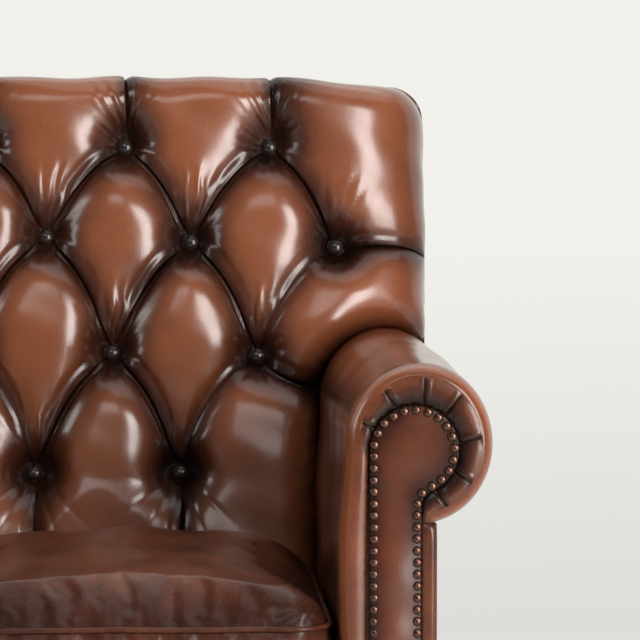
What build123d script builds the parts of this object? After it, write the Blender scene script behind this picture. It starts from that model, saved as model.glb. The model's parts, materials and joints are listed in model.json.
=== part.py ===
from build123d import *
import os
from math import asin, atan2, cos, degrees, radians, sin, sqrt, tan

# Chesterfield armchair in hand-rubbed leather, millimetres, +Z up.
# The origin is on the floor under the middle of the chair.
# The front faces -Y and +X is to the right of a person who looks at the front.

# Turns
quarter_turn = 90.0
half_turn = 180.0

# Clearances
soft_gap = 0.3
bore_gap = 0.2
cut_overrun = 30.0

# Seat frame of beech rails
foot_height = 98.0
rail_height = 132.0
rail_thick = 32.0
front_face_y = -421.0

# Arm front: scroll board, flat facing and nails
board_thick = 25.0
board_margin = 10.0
facing_thick = 6.0
facing_margin = 6.0
nail_line_inset = 33.0
neck_width = 50.0
head_radius = 47.0
head_z = 590.0
neck_fillet = 25.0
nail_diameter = 11.0
nail_height = 3.4
nail_pitch = 13.9
nail_foot_gap = 14.0

# Arm roll and inside arm
arm_inner_x = 260.0
roll_overhang = 67.0
side_panel_thick = 12.0
roll_half_width = 87.0
roll_half_height = 95.0
roll_z = 596.0
arm_slab_thick = 30.0
arm_slab_bottom_z = 240.0
arm_rail_width_share = 0.56
arm_rail_inset_share = 0.355
arm_rail_height = 42.0
stuffing_rail_share = 0.615
stuffing_rail_height = 28.0
stuffing_rail_z = 262.0

# Pleated wrap round the arm front
wrap_edge_radius = 24.0
wrap_pleats = 7
wrap_pleat_half_width = 7.0
wrap_pleat_depth = 5.0
wrap_pleat_run_share = 0.9
wrap_first_angle = -60.0
wrap_last_angle = 152.0

# Back: everything lies on a plane that leans back
back_lean = 11.0
back_foot_y = 248.0
back_height = 919.0
back_overhang = 48.0
back_corner_radius = 44.0
border_thick = 8.0
back_panel_thick = 6.0
post_depth = 44.0
post_width = 75.0
top_rail_height = 50.0
lower_rail_lift = 15.5
lower_rail_height = 45.0
webbing_thick = 2.0
webbing_width = 52.0
webbing_lap = 26.0
web_row_shares = (0.25, 0.375, 0.55, 0.68, 0.81)
web_column_shares = (-0.62, -0.21, 0.21, 0.62)
hessian_thick = 1.2

# Tufted inside back
pad_depth = 118.5
pad_edge_radius = 42.0
pad_lap = 20.0
tuft_pitch = 193.0
tuft_row_counts = (3, 4, 3, 2)
tuft_row_shares = (0.897, 0.761, 0.595, 0.421)
tuft_tilt_shares = (0.0, -0.037, -0.024, 0.0)
tuft_drift_shares = (0.018, -0.03, -0.075, -0.11)
pleat_half_width = 54.0
pleat_depth = 32.0
dimple_radius = 62.0
dimple_depth = 47.0
button_well_radius = 12.0
pleat_link_share = 0.75
side_pleat_slope_share = 0.16
edge_pleat_half_width = 26.0
edge_pleat_depth = 9.0
button_radius = 10.5
button_height = 8.0
twine_radius = 1.2
toggle_radius = 8.0
toggle_thick = 3.0

# Seat springs, deck and front border
spring_count = 5
spring_spread = 440.0
spring_wire = 3.6
spring_wave = 26.0
spring_half_width = 22.0
spring_bend_share = 0.48
spring_waves = 20
clip_width = 26.0
clip_length = 18.0
clip_wall = 1.6
deck_thick = 34.0
border_front_thick = 18.0
border_front_lap = 6.0
border_edge_radius = 9.0

# Loose seat cushion
cushion_front_y = -424.5
cushion_back_gap = 3.0
cushion_side_room = 10.0
cushion_swell = 6.5
cushion_bottom_rise = 11.0
cushion_bottom_draw = 14.0
boxing_height = 98.0
crown_rise = 68.0
crown_run = 100.0
crown_rise_shares = (0.0, 0.32, 0.62, 0.85, 0.95, 1.0)
crown_run_shares = (0.0, 0.03, 0.12, 0.3, 0.5, 1.0)
cushion_corner_radius = 46.0
cover_thick = 2.0
welt_radius = 3.2

# Corner blocks, feet and underside
block_leg = 90.0
block_height = 66.0
screw_radius = 2.6
screw_head_radius = 5.0
screw_head_height = 3.0
screw_length = 38.0
foot_inset = 50.0
foot_radius = 43.0
foot_top_radius = 31.0
foot_base_radius = 27.0
foot_collar = 10.0
foot_base = 6.0
glide_radius = 13.0
glide_height = 4.0
bolt_radius = 4.0
bolt_in_foot = 40.0
bolt_in_rail = 52.0
dust_cover_thick = 1.0
dust_cover_hem = 12.0

# Places worked out from the sizes above
arm_outer_x = arm_inner_x + 2 * roll_half_width - roll_overhang
frame_half_width = arm_outer_x - side_panel_thick
back_half_width = frame_half_width + back_overhang
rail_top_z = foot_height + rail_height
board_front_y = front_face_y + facing_thick
rail_front_y = board_front_y + board_thick
rail_back_y = rail_front_y + rail_thick
roll_x = arm_inner_x + roll_half_width
nail_line_x = arm_inner_x + nail_line_inset
head_x = nail_line_x + head_radius
neck_x = nail_line_x + neck_width
arm_slab_x = arm_inner_x + arm_slab_thick
roll_join_share = (arm_outer_x - roll_x) / roll_half_width
roll_join_z = roll_z - roll_half_height * sqrt(1 - roll_join_share**2)
arm_rail_width = arm_rail_width_share * (arm_outer_x - arm_inner_x)
arm_rail_x = arm_inner_x + arm_rail_inset_share * (arm_outer_x - arm_inner_x)
arm_rail_mid_z = roll_join_z + arm_rail_height / 2
arm_hollow_z = arm_slab_bottom_z - cut_overrun
stuffing_rail_width = stuffing_rail_share * (frame_half_width - arm_slab_x)
stuffing_rail_x = arm_slab_x + soft_gap + stuffing_rail_width / 2
side_panel_top_z = roll_join_z - soft_gap
post_front_w = back_panel_thick + post_depth
hessian_w = post_front_w + webbing_thick
pad_back_w = hessian_w + hessian_thick + soft_gap
pad_front_w = pad_back_w + pad_depth
inner_post_x = back_half_width - border_thick - post_width
deck_top_z = rail_top_z + spring_wire + 2 * clip_wall + 2 * soft_gap + deck_thick
cushion_bottom_z = deck_top_z + soft_gap
low_welt_z = cushion_bottom_z + cushion_bottom_rise
top_welt_z = low_welt_z + boxing_height
cushion_half_width = arm_inner_x - cushion_side_room
foot_x = frame_half_width - foot_inset
rear_foot_y = back_foot_y - (back_panel_thick + post_depth / 2) / cos(radians(back_lean))
front_foot_y = rail_front_y + rail_thick / 2
post_length = back_height - border_thick - top_rail_height
lower_rail_start = rail_height / cos(radians(back_lean)) + lower_rail_lift
pad_start = lower_rail_start + lower_rail_height - pad_lap
arm_run = 2 * back_foot_y + back_height * tan(radians(back_lean)) - rail_front_y

back_normal = Vector(0, -cos(radians(back_lean)), sin(radians(back_lean)))
back_plane = Plane(origin=(0, back_foot_y, foot_height), x_dir=(1, 0, 0), z_dir=back_normal)
right_side = 1
left_side = -1


def back_y(z: float, depth: float) -> float:
    """Y of the back at a height above the floor, at a depth in front of its outside face."""
    lean = radians(back_lean)
    return back_foot_y + (z - foot_height) * tan(lean) - depth / cos(lean)


cushion_back_y = back_y(low_welt_z, pad_front_w) - cushion_back_gap
cushion_depth = cushion_back_y - cushion_front_y - 2 * cushion_swell
cushion_mid_y = (cushion_front_y + cushion_back_y) / 2


def back_outline(inset: float) -> Sketch:
    """Front outline of the back, open to below the rails, with rounded top corners."""
    half_width = back_half_width - inset
    top = back_height - inset
    with BuildSketch() as outline:
        with Locations((0, (top - cut_overrun) / 2)):
            Rectangle(2 * half_width, top + cut_overrun)
        top_corners = outline.vertices().group_by(Axis.Y)[-1]
        fillet(top_corners, back_corner_radius - inset)
    return outline.sketch


def scroll_outline(margin: float, bottom_z: float) -> Wire:
    """Open path round the arm facing, at a margin outside its line of nails."""
    fillet_x = neck_x + neck_fillet
    reach = head_radius + neck_fillet
    drop = sqrt(reach**2 - (fillet_x - head_x) ** 2)
    fillet_z = head_z - drop
    turn = degrees(atan2(drop, fillet_x - head_x))
    inner_x = nail_line_x - margin
    outer_x = neck_x + margin
    with BuildLine() as path:
        Line((inner_x, bottom_z), (inner_x, head_z))
        CenterArc((head_x, head_z), head_radius + margin, half_turn, -(half_turn + turn))
        CenterArc((fillet_x, fillet_z), neck_fillet - margin, half_turn - turn, turn)
        Line((outer_x, fillet_z), (outer_x, bottom_z))
    return path.wire()


def scroll_sketch(margin: float, bottom_z: float) -> Sketch:
    """Closed scroll shape of the facing or its board, drawn for the right arm."""
    with BuildSketch() as shape:
        with BuildLine():
            add(scroll_outline(margin, bottom_z))
            Line((nail_line_x - margin, bottom_z), (neck_x + margin, bottom_z))
        make_face()
    return shape.sketch


def arm_section(bottom_z: float) -> Sketch:
    """Outer shape of the right arm seen from the front: inside face, roll, outside face."""
    turn = degrees(asin(roll_join_share))
    with BuildSketch() as shape:
        with BuildLine():
            Line((arm_inner_x, bottom_z), (arm_inner_x, roll_z))
            roll = EllipticalCenterArc(
                (roll_x, roll_z),
                roll_half_width,
                roll_half_height,
                start_angle=turn - quarter_turn,
                arc_size=half_turn + quarter_turn - turn,
            )
            Line(roll @ 0, (arm_outer_x, bottom_z))
            Line((arm_outer_x, bottom_z), (arm_inner_x, bottom_z))
        make_face()
    return shape.sketch


def front_plane(y: float) -> Plane:
    """Upright plane across the chair at a depth, drawn in X and Z, extruded to the rear."""
    return Plane(origin=(0, y, 0), x_dir=(1, 0, 0), z_dir=(0, -1, 0))


def to_side(piece: Part, side: int) -> Part:
    """The piece made for the right side, or its mirror image for the left side."""
    if side == right_side:
        return piece
    return mirror(piece, about=Plane.YZ, mode=Mode.PRIVATE)


def save(piece: Part, name: str) -> None:
    """Label a finished piece and write its own file."""
    piece.label = name
    export_step(piece, f"parts/{name}.step")


def pleat_groove(start: Vector, end: Vector, outward: Vector, half: float, depth: float) -> Part:
    """Cutter of one pleat, a straight valley whose two flanks swell like stuffed leather."""
    run = end - start
    across = outward.cross(run.normalized())
    with BuildPart() as groove:
        with BuildSketch(Plane(origin=start, x_dir=across, z_dir=run)):
            with BuildLine():
                TangentArc((-half, 0), (0, -depth), tangent=(1, 0))
                TangentArc((half, 0), (0, -depth), tangent=(-1, 0))
                Polyline((-half, 0), (-half, cut_overrun), (half, cut_overrun), (half, 0))
            make_face()
        extrude(amount=run.length)
    return groove.part


os.makedirs("parts", exist_ok=True)

# Seat rails, bored for the foot bolts
foot_places = [
    (foot_x, front_foot_y),
    (-foot_x, front_foot_y),
    (foot_x, rear_foot_y),
    (-foot_x, rear_foot_y),
]

with BuildPart() as front_seat_rail:
    with BuildSketch(Plane.XY.offset(foot_height)):
        with Locations((0, (rail_front_y + rail_back_y) / 2)):
            Rectangle(2 * frame_half_width, rail_thick)
    extrude(amount=rail_height)
    with BuildSketch(Plane.XY.offset(foot_height)):
        with Locations(*foot_places[:2]):
            Circle(bolt_radius + bore_gap)
    extrude(amount=bolt_in_rail + bore_gap, mode=Mode.SUBTRACT)
save(front_seat_rail.part, "front_seat_rail")

with BuildPart() as rear_seat_rail:
    with BuildSketch(back_plane.offset(back_panel_thick)):
        with Locations((0, rail_height / 2)):
            Rectangle(2 * inner_post_x, rail_height + 2 * cut_overrun)
    extrude(amount=post_depth)
    split(bisect_by=Plane.XY.offset(foot_height), keep=Keep.TOP)
    split(bisect_by=Plane.XY.offset(rail_top_z), keep=Keep.BOTTOM)
    with BuildSketch(Plane.XY.offset(foot_height)):
        with Locations(*foot_places[2:]):
            Circle(bolt_radius + bore_gap)
    extrude(amount=bolt_in_rail + bore_gap, mode=Mode.SUBTRACT)
save(rear_seat_rail.part, "rear_seat_rail")

with BuildPart() as side_seat_rail:
    with BuildSketch(front_plane(rail_back_y)):
        with Locations((frame_half_width - rail_thick / 2, foot_height + rail_height / 2)):
            Rectangle(rail_thick, rail_height)
    extrude(amount=-arm_run)
    split(bisect_by=back_plane.offset(post_front_w), keep=Keep.TOP)
save(to_side(side_seat_rail.part, right_side), "right_seat_rail")
save(to_side(side_seat_rail.part, left_side), "left_seat_rail")

# Back posts, standing on the rear feet, with their top and lower rails
with BuildPart() as back_post:
    with BuildSketch(back_plane.offset(back_panel_thick)):
        add(back_outline(border_thick))
        with Locations((inner_post_x + post_width / 2, post_length / 2)):
            Rectangle(post_width, post_length + 2 * cut_overrun, mode=Mode.INTERSECT)
        with Locations((0, post_length + cut_overrun)):
            Rectangle(2 * back_half_width, 2 * cut_overrun, mode=Mode.SUBTRACT)
    extrude(amount=post_depth)
    split(bisect_by=Plane.XY.offset(foot_height), keep=Keep.TOP)
save(to_side(back_post.part, right_side), "right_back_post")
save(to_side(back_post.part, left_side), "left_back_post")

with BuildPart() as back_top_rail:
    with BuildSketch(back_plane.offset(back_panel_thick)):
        add(back_outline(border_thick))
        with Locations((0, post_length + top_rail_height)):
            Rectangle(2 * back_half_width, 2 * top_rail_height, mode=Mode.INTERSECT)
    extrude(amount=post_depth)
save(back_top_rail.part, "back_top_rail")

with BuildPart() as back_lower_rail:
    with BuildSketch(back_plane.offset(back_panel_thick)):
        with Locations((0, lower_rail_start + lower_rail_height / 2)):
            Rectangle(2 * inner_post_x, lower_rail_height)
    extrude(amount=post_depth)
save(back_lower_rail.part, "back_lower_rail")

# Outside back panel and the border that runs up both sides and over the top
with BuildPart() as outside_back_panel:
    with BuildSketch(back_plane):
        add(back_outline(border_thick))
    extrude(amount=back_panel_thick)
    split(bisect_by=Plane.XY.offset(foot_height), keep=Keep.TOP)
save(outside_back_panel.part, "outside_back_panel")

with BuildPart() as back_border:
    with BuildSketch(back_plane):
        add(back_outline(0))
        add(back_outline(border_thick), mode=Mode.SUBTRACT)
    extrude(amount=post_front_w)
    split(bisect_by=Plane.XY.offset(foot_height), keep=Keep.TOP)
save(back_border.part, "back_border")

# Arm frame: scroll board, arm top rail and stuffing rail
with BuildPart() as arm_front_board:
    with BuildSketch(front_plane(board_front_y)):
        add(scroll_sketch(board_margin, foot_height))
    extrude(amount=-board_thick)
save(to_side(arm_front_board.part, right_side), "right_arm_front_board")
save(to_side(arm_front_board.part, left_side), "left_arm_front_board")

with BuildPart() as arm_top_rail:
    with BuildSketch(front_plane(rail_front_y)):
        with Locations((arm_rail_x + arm_rail_width / 2, roll_join_z + arm_rail_height / 2)):
            Rectangle(arm_rail_width, arm_rail_height)
    extrude(amount=-arm_run)
    split(bisect_by=back_plane.offset(post_front_w), keep=Keep.TOP)
save(to_side(arm_top_rail.part, right_side), "right_arm_top_rail")
save(to_side(arm_top_rail.part, left_side), "left_arm_top_rail")

with BuildPart() as arm_stuffing_rail:
    with BuildSketch(front_plane(rail_front_y)):
        with Locations((stuffing_rail_x, stuffing_rail_z + stuffing_rail_height / 2)):
            Rectangle(stuffing_rail_width, stuffing_rail_height)
    extrude(amount=-arm_run)
    split(bisect_by=back_plane.offset(post_front_w), keep=Keep.TOP)
save(to_side(arm_stuffing_rail.part, right_side), "right_arm_stuffing_rail")
save(to_side(arm_stuffing_rail.part, left_side), "left_arm_stuffing_rail")

# Inside arm with its roll, hollow over the arm top rail and down to the seat
with BuildPart() as arm_pad:
    with BuildSketch(front_plane(rail_front_y)):
        add(arm_section(arm_slab_bottom_z))
        with Locations((arm_slab_x, roll_join_z)):
            Rectangle(
                arm_outer_x + cut_overrun - arm_slab_x,
                roll_join_z - arm_hollow_z,
                align=(Align.MIN, Align.MAX),
                mode=Mode.SUBTRACT,
            )
        with Locations((arm_rail_x + arm_rail_width / 2, roll_join_z)):
            Rectangle(
                arm_rail_width + 2 * soft_gap,
                2 * (arm_rail_height + soft_gap),
                mode=Mode.SUBTRACT,
            )
    extrude(amount=-arm_run)
    split(bisect_by=back_plane.offset(pad_back_w), keep=Keep.TOP)
save(to_side(arm_pad.part, right_side), "right_arm_pad")
save(to_side(arm_pad.part, left_side), "left_arm_pad")

with BuildPart() as outside_arm_panel:
    with BuildSketch(front_plane(rail_front_y)):
        with Locations((frame_half_width + side_panel_thick / 2, (foot_height + side_panel_top_z) / 2)):
            Rectangle(side_panel_thick, side_panel_top_z - foot_height)
    extrude(amount=-arm_run)
    split(bisect_by=back_plane.offset(post_front_w), keep=Keep.TOP)
save(to_side(outside_arm_panel.part, right_side), "right_outside_arm_panel")
save(to_side(outside_arm_panel.part, left_side), "left_outside_arm_panel")

# Flat facing on the front of the scroll board
with BuildPart() as arm_facing:
    with BuildSketch(front_plane(front_face_y)):
        add(scroll_sketch(facing_margin, foot_height))
    extrude(amount=-facing_thick)
save(to_side(arm_facing.part, right_side), "right_arm_facing")
save(to_side(arm_facing.part, left_side), "left_arm_facing")

# Wrap round the arm front, rounded over its edge and gathered into pleats round the roll
wrap_depth = rail_front_y - front_face_y
wrap_angle_step = (wrap_last_angle - wrap_first_angle) / (wrap_pleats - 1)
with BuildPart() as wrap_grooves:
    for index in range(wrap_pleats):
        angle = radians(wrap_first_angle + index * wrap_angle_step)
        inner_x = head_x + (head_radius + facing_margin) * cos(angle)
        inner_z = head_z + (head_radius + facing_margin) * sin(angle)
        rim_x = roll_x + roll_half_width * cos(angle)
        rim_z = roll_z + roll_half_height * sin(angle)
        pleat_start = Vector(inner_x, front_face_y, inner_z)
        pleat_end = Vector(rim_x, front_face_y + wrap_edge_radius * wrap_pleat_run_share, rim_z)
        pleat_run = pleat_end - pleat_start
        sideways = Vector(0, -1, 0).cross(pleat_run).normalized()
        outward = pleat_run.normalized().cross(sideways)
        add(
            pleat_groove(
                pleat_start, pleat_end, outward, wrap_pleat_half_width, wrap_pleat_depth
            )
        )

with BuildPart() as arm_front_wrap:
    with BuildSketch(front_plane(front_face_y)):
        add(arm_section(foot_height))
    extrude(amount=-wrap_depth)
    rim = arm_front_wrap.faces().sort_by(Axis.Y)[0].edges()
    fillet(rim.filter_by(lambda edge: edge.bounding_box().max.Z > foot_height), wrap_edge_radius)
    with BuildSketch(front_plane(front_face_y)):
        add(scroll_sketch(facing_margin + soft_gap, foot_height - cut_overrun))
    extrude(amount=-facing_thick, mode=Mode.SUBTRACT)
    with BuildSketch(front_plane(board_front_y)):
        add(scroll_sketch(board_margin + soft_gap, foot_height - cut_overrun))
    extrude(amount=-board_thick, mode=Mode.SUBTRACT)
    add(wrap_grooves.part, mode=Mode.SUBTRACT)
save(to_side(arm_front_wrap.part, right_side), "right_arm_front_wrap")
save(to_side(arm_front_wrap.part, left_side), "left_arm_front_wrap")

# Domed nails along the edge of the facing
nail_path = scroll_outline(0, foot_height + nail_foot_gap)
nail_count = round(nail_path.length / nail_pitch)
nail_ball_radius = ((nail_diameter / 2) ** 2 + nail_height**2) / (2 * nail_height)
with BuildPart() as nail_head:
    with BuildSketch(Plane.XZ):
        with BuildLine():
            Line((0, 0), (nail_diameter / 2, 0))
            RadiusArc((nail_diameter / 2, 0), (0, nail_height), -nail_ball_radius)
            Line((0, nail_height), (0, 0))
        make_face()
    revolve(axis=Axis.Z)

nail_places = []
for index in range(nail_count + 1):
    spot = nail_path @ (index / nail_count)
    nail_places.append((spot.X, spot.Y))
with BuildPart(front_plane(front_face_y)) as facing_nails:
    with Locations(*nail_places):
        add(nail_head.part)
save(to_side(facing_nails.part, right_side), "right_facing_nails")
save(to_side(facing_nails.part, left_side), "left_facing_nails")

# Button places on the back, row by row, with the drift of hand tufting
button_rows = []
for row_index, count in enumerate(tuft_row_counts):
    row_width = (count - 1) * tuft_pitch
    row = []
    for index in range(count):
        across = index * tuft_pitch - row_width / 2 + tuft_drift_shares[row_index] * tuft_pitch
        row_v = tuft_row_shares[row_index] * back_height
        row.append((across, row_v + tuft_tilt_shares[row_index] * across))
    button_rows.append(row)
button_places = [place for row in button_rows for place in row]

# Webbing and hessian behind the stuffing, open where the arm rails and twines pass
with BuildPart() as back_passages:
    with BuildSketch(front_plane(0)):
        for side in (right_side, left_side):
            with Locations((side * (arm_rail_x + arm_rail_width / 2), arm_rail_mid_z)):
                Rectangle(arm_rail_width + 2 * soft_gap, arm_rail_height + 2 * soft_gap)
            with Locations((side * stuffing_rail_x, stuffing_rail_z + stuffing_rail_height / 2)):
                Rectangle(
                    stuffing_rail_width + 2 * soft_gap,
                    stuffing_rail_height + 2 * soft_gap,
                )
    extrude(amount=-arm_run)
    with BuildSketch(back_plane):
        with Locations(*button_places):
            Circle(twine_radius + bore_gap)
    extrude(amount=pad_front_w)

hessian_bottom = lower_rail_start + lower_rail_height - webbing_lap
hessian_top = post_length + webbing_lap
hessian_half_width = inner_post_x + webbing_lap
with BuildPart() as back_webbing:
    with BuildSketch(back_plane.offset(post_front_w)):
        for share in web_row_shares:
            with Locations((0, share * back_height)):
                Rectangle(2 * hessian_half_width, webbing_width)
        for share in web_column_shares:
            with Locations((share * hessian_half_width, (hessian_bottom + hessian_top) / 2)):
                Rectangle(webbing_width, hessian_top - hessian_bottom)
    extrude(amount=webbing_thick)
    add(back_passages.part, mode=Mode.SUBTRACT)
save(back_webbing.part, "back_webbing")

with BuildPart() as back_hessian:
    with BuildSketch(back_plane.offset(hessian_w)):
        with Locations((0, (hessian_bottom + hessian_top) / 2)):
            Rectangle(2 * hessian_half_width, hessian_top - hessian_bottom)
    extrude(amount=hessian_thick)
    add(back_passages.part, mode=Mode.SUBTRACT)
save(back_hessian.part, "back_hessian")

# Pleats of the tufted back, as pairs of end points in the plane of its crests
side_reach = back_half_width + cut_overrun
arm_reach = arm_inner_x + cut_overrun
pleat_lines = []
for upper, lower in zip(button_rows, button_rows[1:]):
    for x_upper, v_upper in upper:
        for x_lower, v_lower in lower:
            if abs(x_upper - x_lower) < tuft_pitch * pleat_link_share:
                pleat_lines.append(((x_upper, v_upper), (x_lower, v_lower)))
for x_top, v_top in button_rows[0]:
    pleat_lines.append(((x_top, v_top), (x_top, back_height + cut_overrun)))
for row, reach in ((button_rows[1], side_reach), (button_rows[2], arm_reach)):
    for (x_edge, v_edge), side in ((row[0], left_side), (row[-1], right_side)):
        run_out = side * reach - x_edge
        end_v = v_edge - abs(run_out) * side_pleat_slope_share
        pleat_lines.append(((x_edge, v_edge), (side * reach, end_v)))
for x_low, v_low in button_rows[-1]:
    pleat_lines.append(((x_low, v_low), (x_low, pad_start - cut_overrun)))

crest_plane = back_plane.offset(pad_front_w)
with BuildPart() as tufting:
    for (x_start, v_start), (x_end, v_end) in pleat_lines:
        groove_start = crest_plane.from_local_coords(Vector(x_start, v_start, 0))
        groove_end = crest_plane.from_local_coords(Vector(x_end, v_end, 0))
        add(
            pleat_groove(groove_start, groove_end, back_normal, pleat_half_width, pleat_depth)
        )
    for x_top, v_top in button_rows[0]:
        edge_start = back_plane.from_local_coords(Vector(x_top, back_height, pad_front_w))
        edge_end = back_plane.from_local_coords(Vector(x_top, back_height, pad_back_w))
        add(
            pleat_groove(
                edge_start,
                edge_end,
                back_plane.y_dir,
                edge_pleat_half_width,
                edge_pleat_depth,
            )
        )

with BuildPart() as dimple:
    with BuildSketch(Plane.XZ):
        with BuildLine():
            TangentArc((dimple_radius, 0), (button_well_radius, -dimple_depth), tangent=(-1, 0))
            Polyline(
                (button_well_radius, -dimple_depth),
                (0, -dimple_depth),
                (0, cut_overrun),
                (dimple_radius, cut_overrun),
                (dimple_radius, 0),
            )
        make_face()
    revolve(axis=Axis.Z)

with BuildPart(crest_plane) as dimples:
    with Locations(*button_places):
        add(dimple.part)

with BuildPart() as arm_shadow:
    with BuildSketch(front_plane(front_face_y)):
        with Locations((roll_x, roll_z)):
            Ellipse(roll_half_width + soft_gap, roll_half_height + soft_gap)
        with Locations((arm_inner_x - soft_gap, roll_z)):
            Rectangle(back_half_width, roll_z, align=(Align.MIN, Align.MAX))
    extrude(amount=-2 * arm_run)

with BuildPart() as inside_back_pad:
    with BuildSketch(back_plane.offset(pad_back_w)):
        add(back_outline(0))
        with Locations((0, pad_start)):
            Rectangle(
                2 * side_reach,
                pad_start + 2 * cut_overrun,
                align=(Align.CENTER, Align.MAX),
                mode=Mode.SUBTRACT,
            )
    extrude(amount=pad_depth)
    front_edges = inside_back_pad.faces().filter_by(back_plane).sort_by(Axis.Y)[0].edges()
    soft_edges = front_edges.sort_by(Axis.Z)[1:]
    fillet(soft_edges, pad_edge_radius)
    add(arm_shadow.part, mode=Mode.SUBTRACT)
    add(mirror(arm_shadow.part, about=Plane.YZ, mode=Mode.PRIVATE), mode=Mode.SUBTRACT)
    add(tufting.part, mode=Mode.SUBTRACT)
    add(dimples.part, mode=Mode.SUBTRACT)
    with BuildSketch(back_plane):
        with Locations(*button_places):
            Circle(twine_radius + bore_gap)
    extrude(amount=pad_front_w, mode=Mode.SUBTRACT)
save(inside_back_pad.part, "inside_back_pad")

# Leather-covered buttons, sunk at the crossings of the pleats
button_seat_w = pad_front_w - dimple_depth + soft_gap
button_ball_radius = (button_radius**2 + button_height**2) / (2 * button_height)
with BuildPart() as button:
    with BuildSketch(Plane.XZ):
        with BuildLine():
            Line((0, 0), (button_radius, 0))
            RadiusArc((button_radius, 0), (0, button_height), -button_ball_radius)
            Line((0, button_height), (0, 0))
        make_face()
    revolve(axis=Axis.Z)

with BuildPart(back_plane.offset(button_seat_w)) as back_buttons:
    with Locations(*button_places):
        add(button.part)
save(back_buttons.part, "back_buttons")

# Tufting twines from the buttons to toggles behind the webbing
with BuildPart() as tufting_twines:
    with BuildSketch(back_plane.offset(post_front_w - soft_gap - toggle_thick)):
        with Locations(*button_places):
            Circle(toggle_radius)
    extrude(amount=toggle_thick)
    with BuildSketch(back_plane.offset(post_front_w - soft_gap)):
        with Locations(*button_places):
            Circle(twine_radius)
    extrude(amount=button_seat_w - post_front_w)
save(tufting_twines.part, "tufting_twines")

# Zigzag seat springs held by clips on the front and rear rails
clip_base_z = rail_top_z
wire_z = clip_base_z + clip_wall + soft_gap + spring_wire / 2
rear_rail_y = back_y(rail_top_z, post_front_w)
spring_start_y = rail_back_y - clip_length
spring_end_y = rear_rail_y + clip_length
wave_start_y = rail_back_y + spring_wave
wave_count = 2 * (spring_waves // 2)
wave_step = (rear_rail_y - rail_back_y - 2 * spring_wave) / wave_count
spring_bend = wave_step * spring_bend_share
wave_points = [(0, spring_start_y), (0, wave_start_y)]
for index in range(wave_count):
    wave_side = spring_half_width if index % 2 == 0 else -spring_half_width
    wave_points.append((wave_side, wave_start_y + index * wave_step))
    wave_points.append((wave_side, wave_start_y + (index + 1) * wave_step))
wave_points.append((0, wave_start_y + wave_count * wave_step))
wave_points.append((0, spring_end_y))
with BuildPart() as seat_spring:
    with BuildLine(Plane.XY.offset(wire_z)) as wave:
        FilletPolyline(*wave_points, radius=spring_bend)
    with BuildSketch(Plane(origin=wave.wire() @ 0, z_dir=wave.wire() % 0)):
        Circle(spring_wire / 2)
    sweep(path=wave.wire())

spring_step = spring_spread / (spring_count - 1)
spring_places = [(index * spring_step - spring_spread / 2, 0) for index in range(spring_count)]
with BuildPart() as seat_springs:
    with Locations(*spring_places):
        add(seat_spring.part)
save(seat_springs.part, "seat_springs")

clip_height = spring_wire + 2 * clip_wall + 2 * soft_gap
clip_places = []
for place_x, place_y in spring_places:
    clip_places.append((place_x, rail_back_y - clip_length / 2))
    clip_places.append((place_x, rear_rail_y + clip_length / 2))
with BuildPart() as spring_clips:
    with BuildSketch(Plane.XY.offset(clip_base_z)):
        with Locations(*clip_places):
            Rectangle(clip_width, clip_length)
    extrude(amount=clip_height)
    with BuildSketch(Plane.XY.offset(clip_base_z + clip_wall)):
        with Locations(*clip_places):
            Rectangle(clip_width - 2 * clip_wall, clip_length + cut_overrun)
    extrude(amount=clip_height - 2 * clip_wall, mode=Mode.SUBTRACT)
save(spring_clips.part, "spring_clips")

# Deck pad over the springs, between the arms
deck_bottom_z = rail_top_z + clip_height
deck_half_width = arm_inner_x - soft_gap
border_back_y = rail_front_y + border_front_lap
with BuildPart() as seat_deck:
    with BuildSketch(Plane.XY.offset(deck_bottom_z)):
        with Locations((0, border_back_y + soft_gap)):
            Rectangle(
                2 * deck_half_width,
                back_y(deck_bottom_z, pad_back_w) - border_back_y - 2 * soft_gap,
                align=(Align.CENTER, Align.MIN),
            )
    extrude(amount=deck_top_z - deck_bottom_z)
save(seat_deck.part, "seat_deck")

# Padded front border between the arms, lapped over the front rail
border_front_y = rail_front_y - border_front_thick
with BuildPart() as front_border:
    with BuildSketch(Plane.YZ.offset(-deck_half_width)):
        with BuildLine():
            Polyline(
                (border_front_y, foot_height),
                (rail_front_y, foot_height),
                (rail_front_y, rail_top_z),
                (border_back_y, rail_top_z),
                (border_back_y, deck_top_z),
                (border_front_y, deck_top_z),
                close=True,
            )
        make_face()
    extrude(amount=2 * deck_half_width)
    nose = front_border.faces().sort_by(Axis.Y)[0].edges().filter_by(Axis.X)
    fillet(nose.sort_by(Axis.Z)[-1], border_edge_radius)
save(front_border.part, "front_border")


def cushion_solid(skin: float) -> Part:
    """Loose cushion inside a skin: boxing that swells between its seams, under a full crown."""
    half_depth = cushion_depth / 2
    bottom = [
        (cushion_bottom_z + skin, cushion_bottom_draw),
        (low_welt_z, 0),
    ]
    boxing = [
        (low_welt_z, 0),
        (low_welt_z + boxing_height / 2, -cushion_swell),
        (top_welt_z, 0),
    ]
    crown = [
        (top_welt_z + rise * (crown_rise - skin), run * crown_run)
        for rise, run in zip(crown_rise_shares, crown_run_shares)
    ]
    with BuildPart() as solid:
        for levels in (bottom, boxing, crown):
            for level_z, inset in levels:
                with BuildSketch(Plane.XY.offset(level_z)):
                    with Locations((0, cushion_mid_y)):
                        RectangleRounded(
                            2 * (cushion_half_width - inset - skin),
                            2 * (half_depth - inset - skin),
                            cushion_corner_radius - skin,
                        )
            loft()
    return solid.part


# Seat cushion: leather cover, its filling, and the welts of its two seams
cushion_filling = cushion_solid(cover_thick + soft_gap)
with BuildPart() as seat_cushion_cover:
    add(cushion_solid(0))
    add(cushion_solid(cover_thick), mode=Mode.SUBTRACT)
save(seat_cushion_cover.part, "seat_cushion_cover")
save(cushion_filling, "seat_cushion_core")

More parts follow.
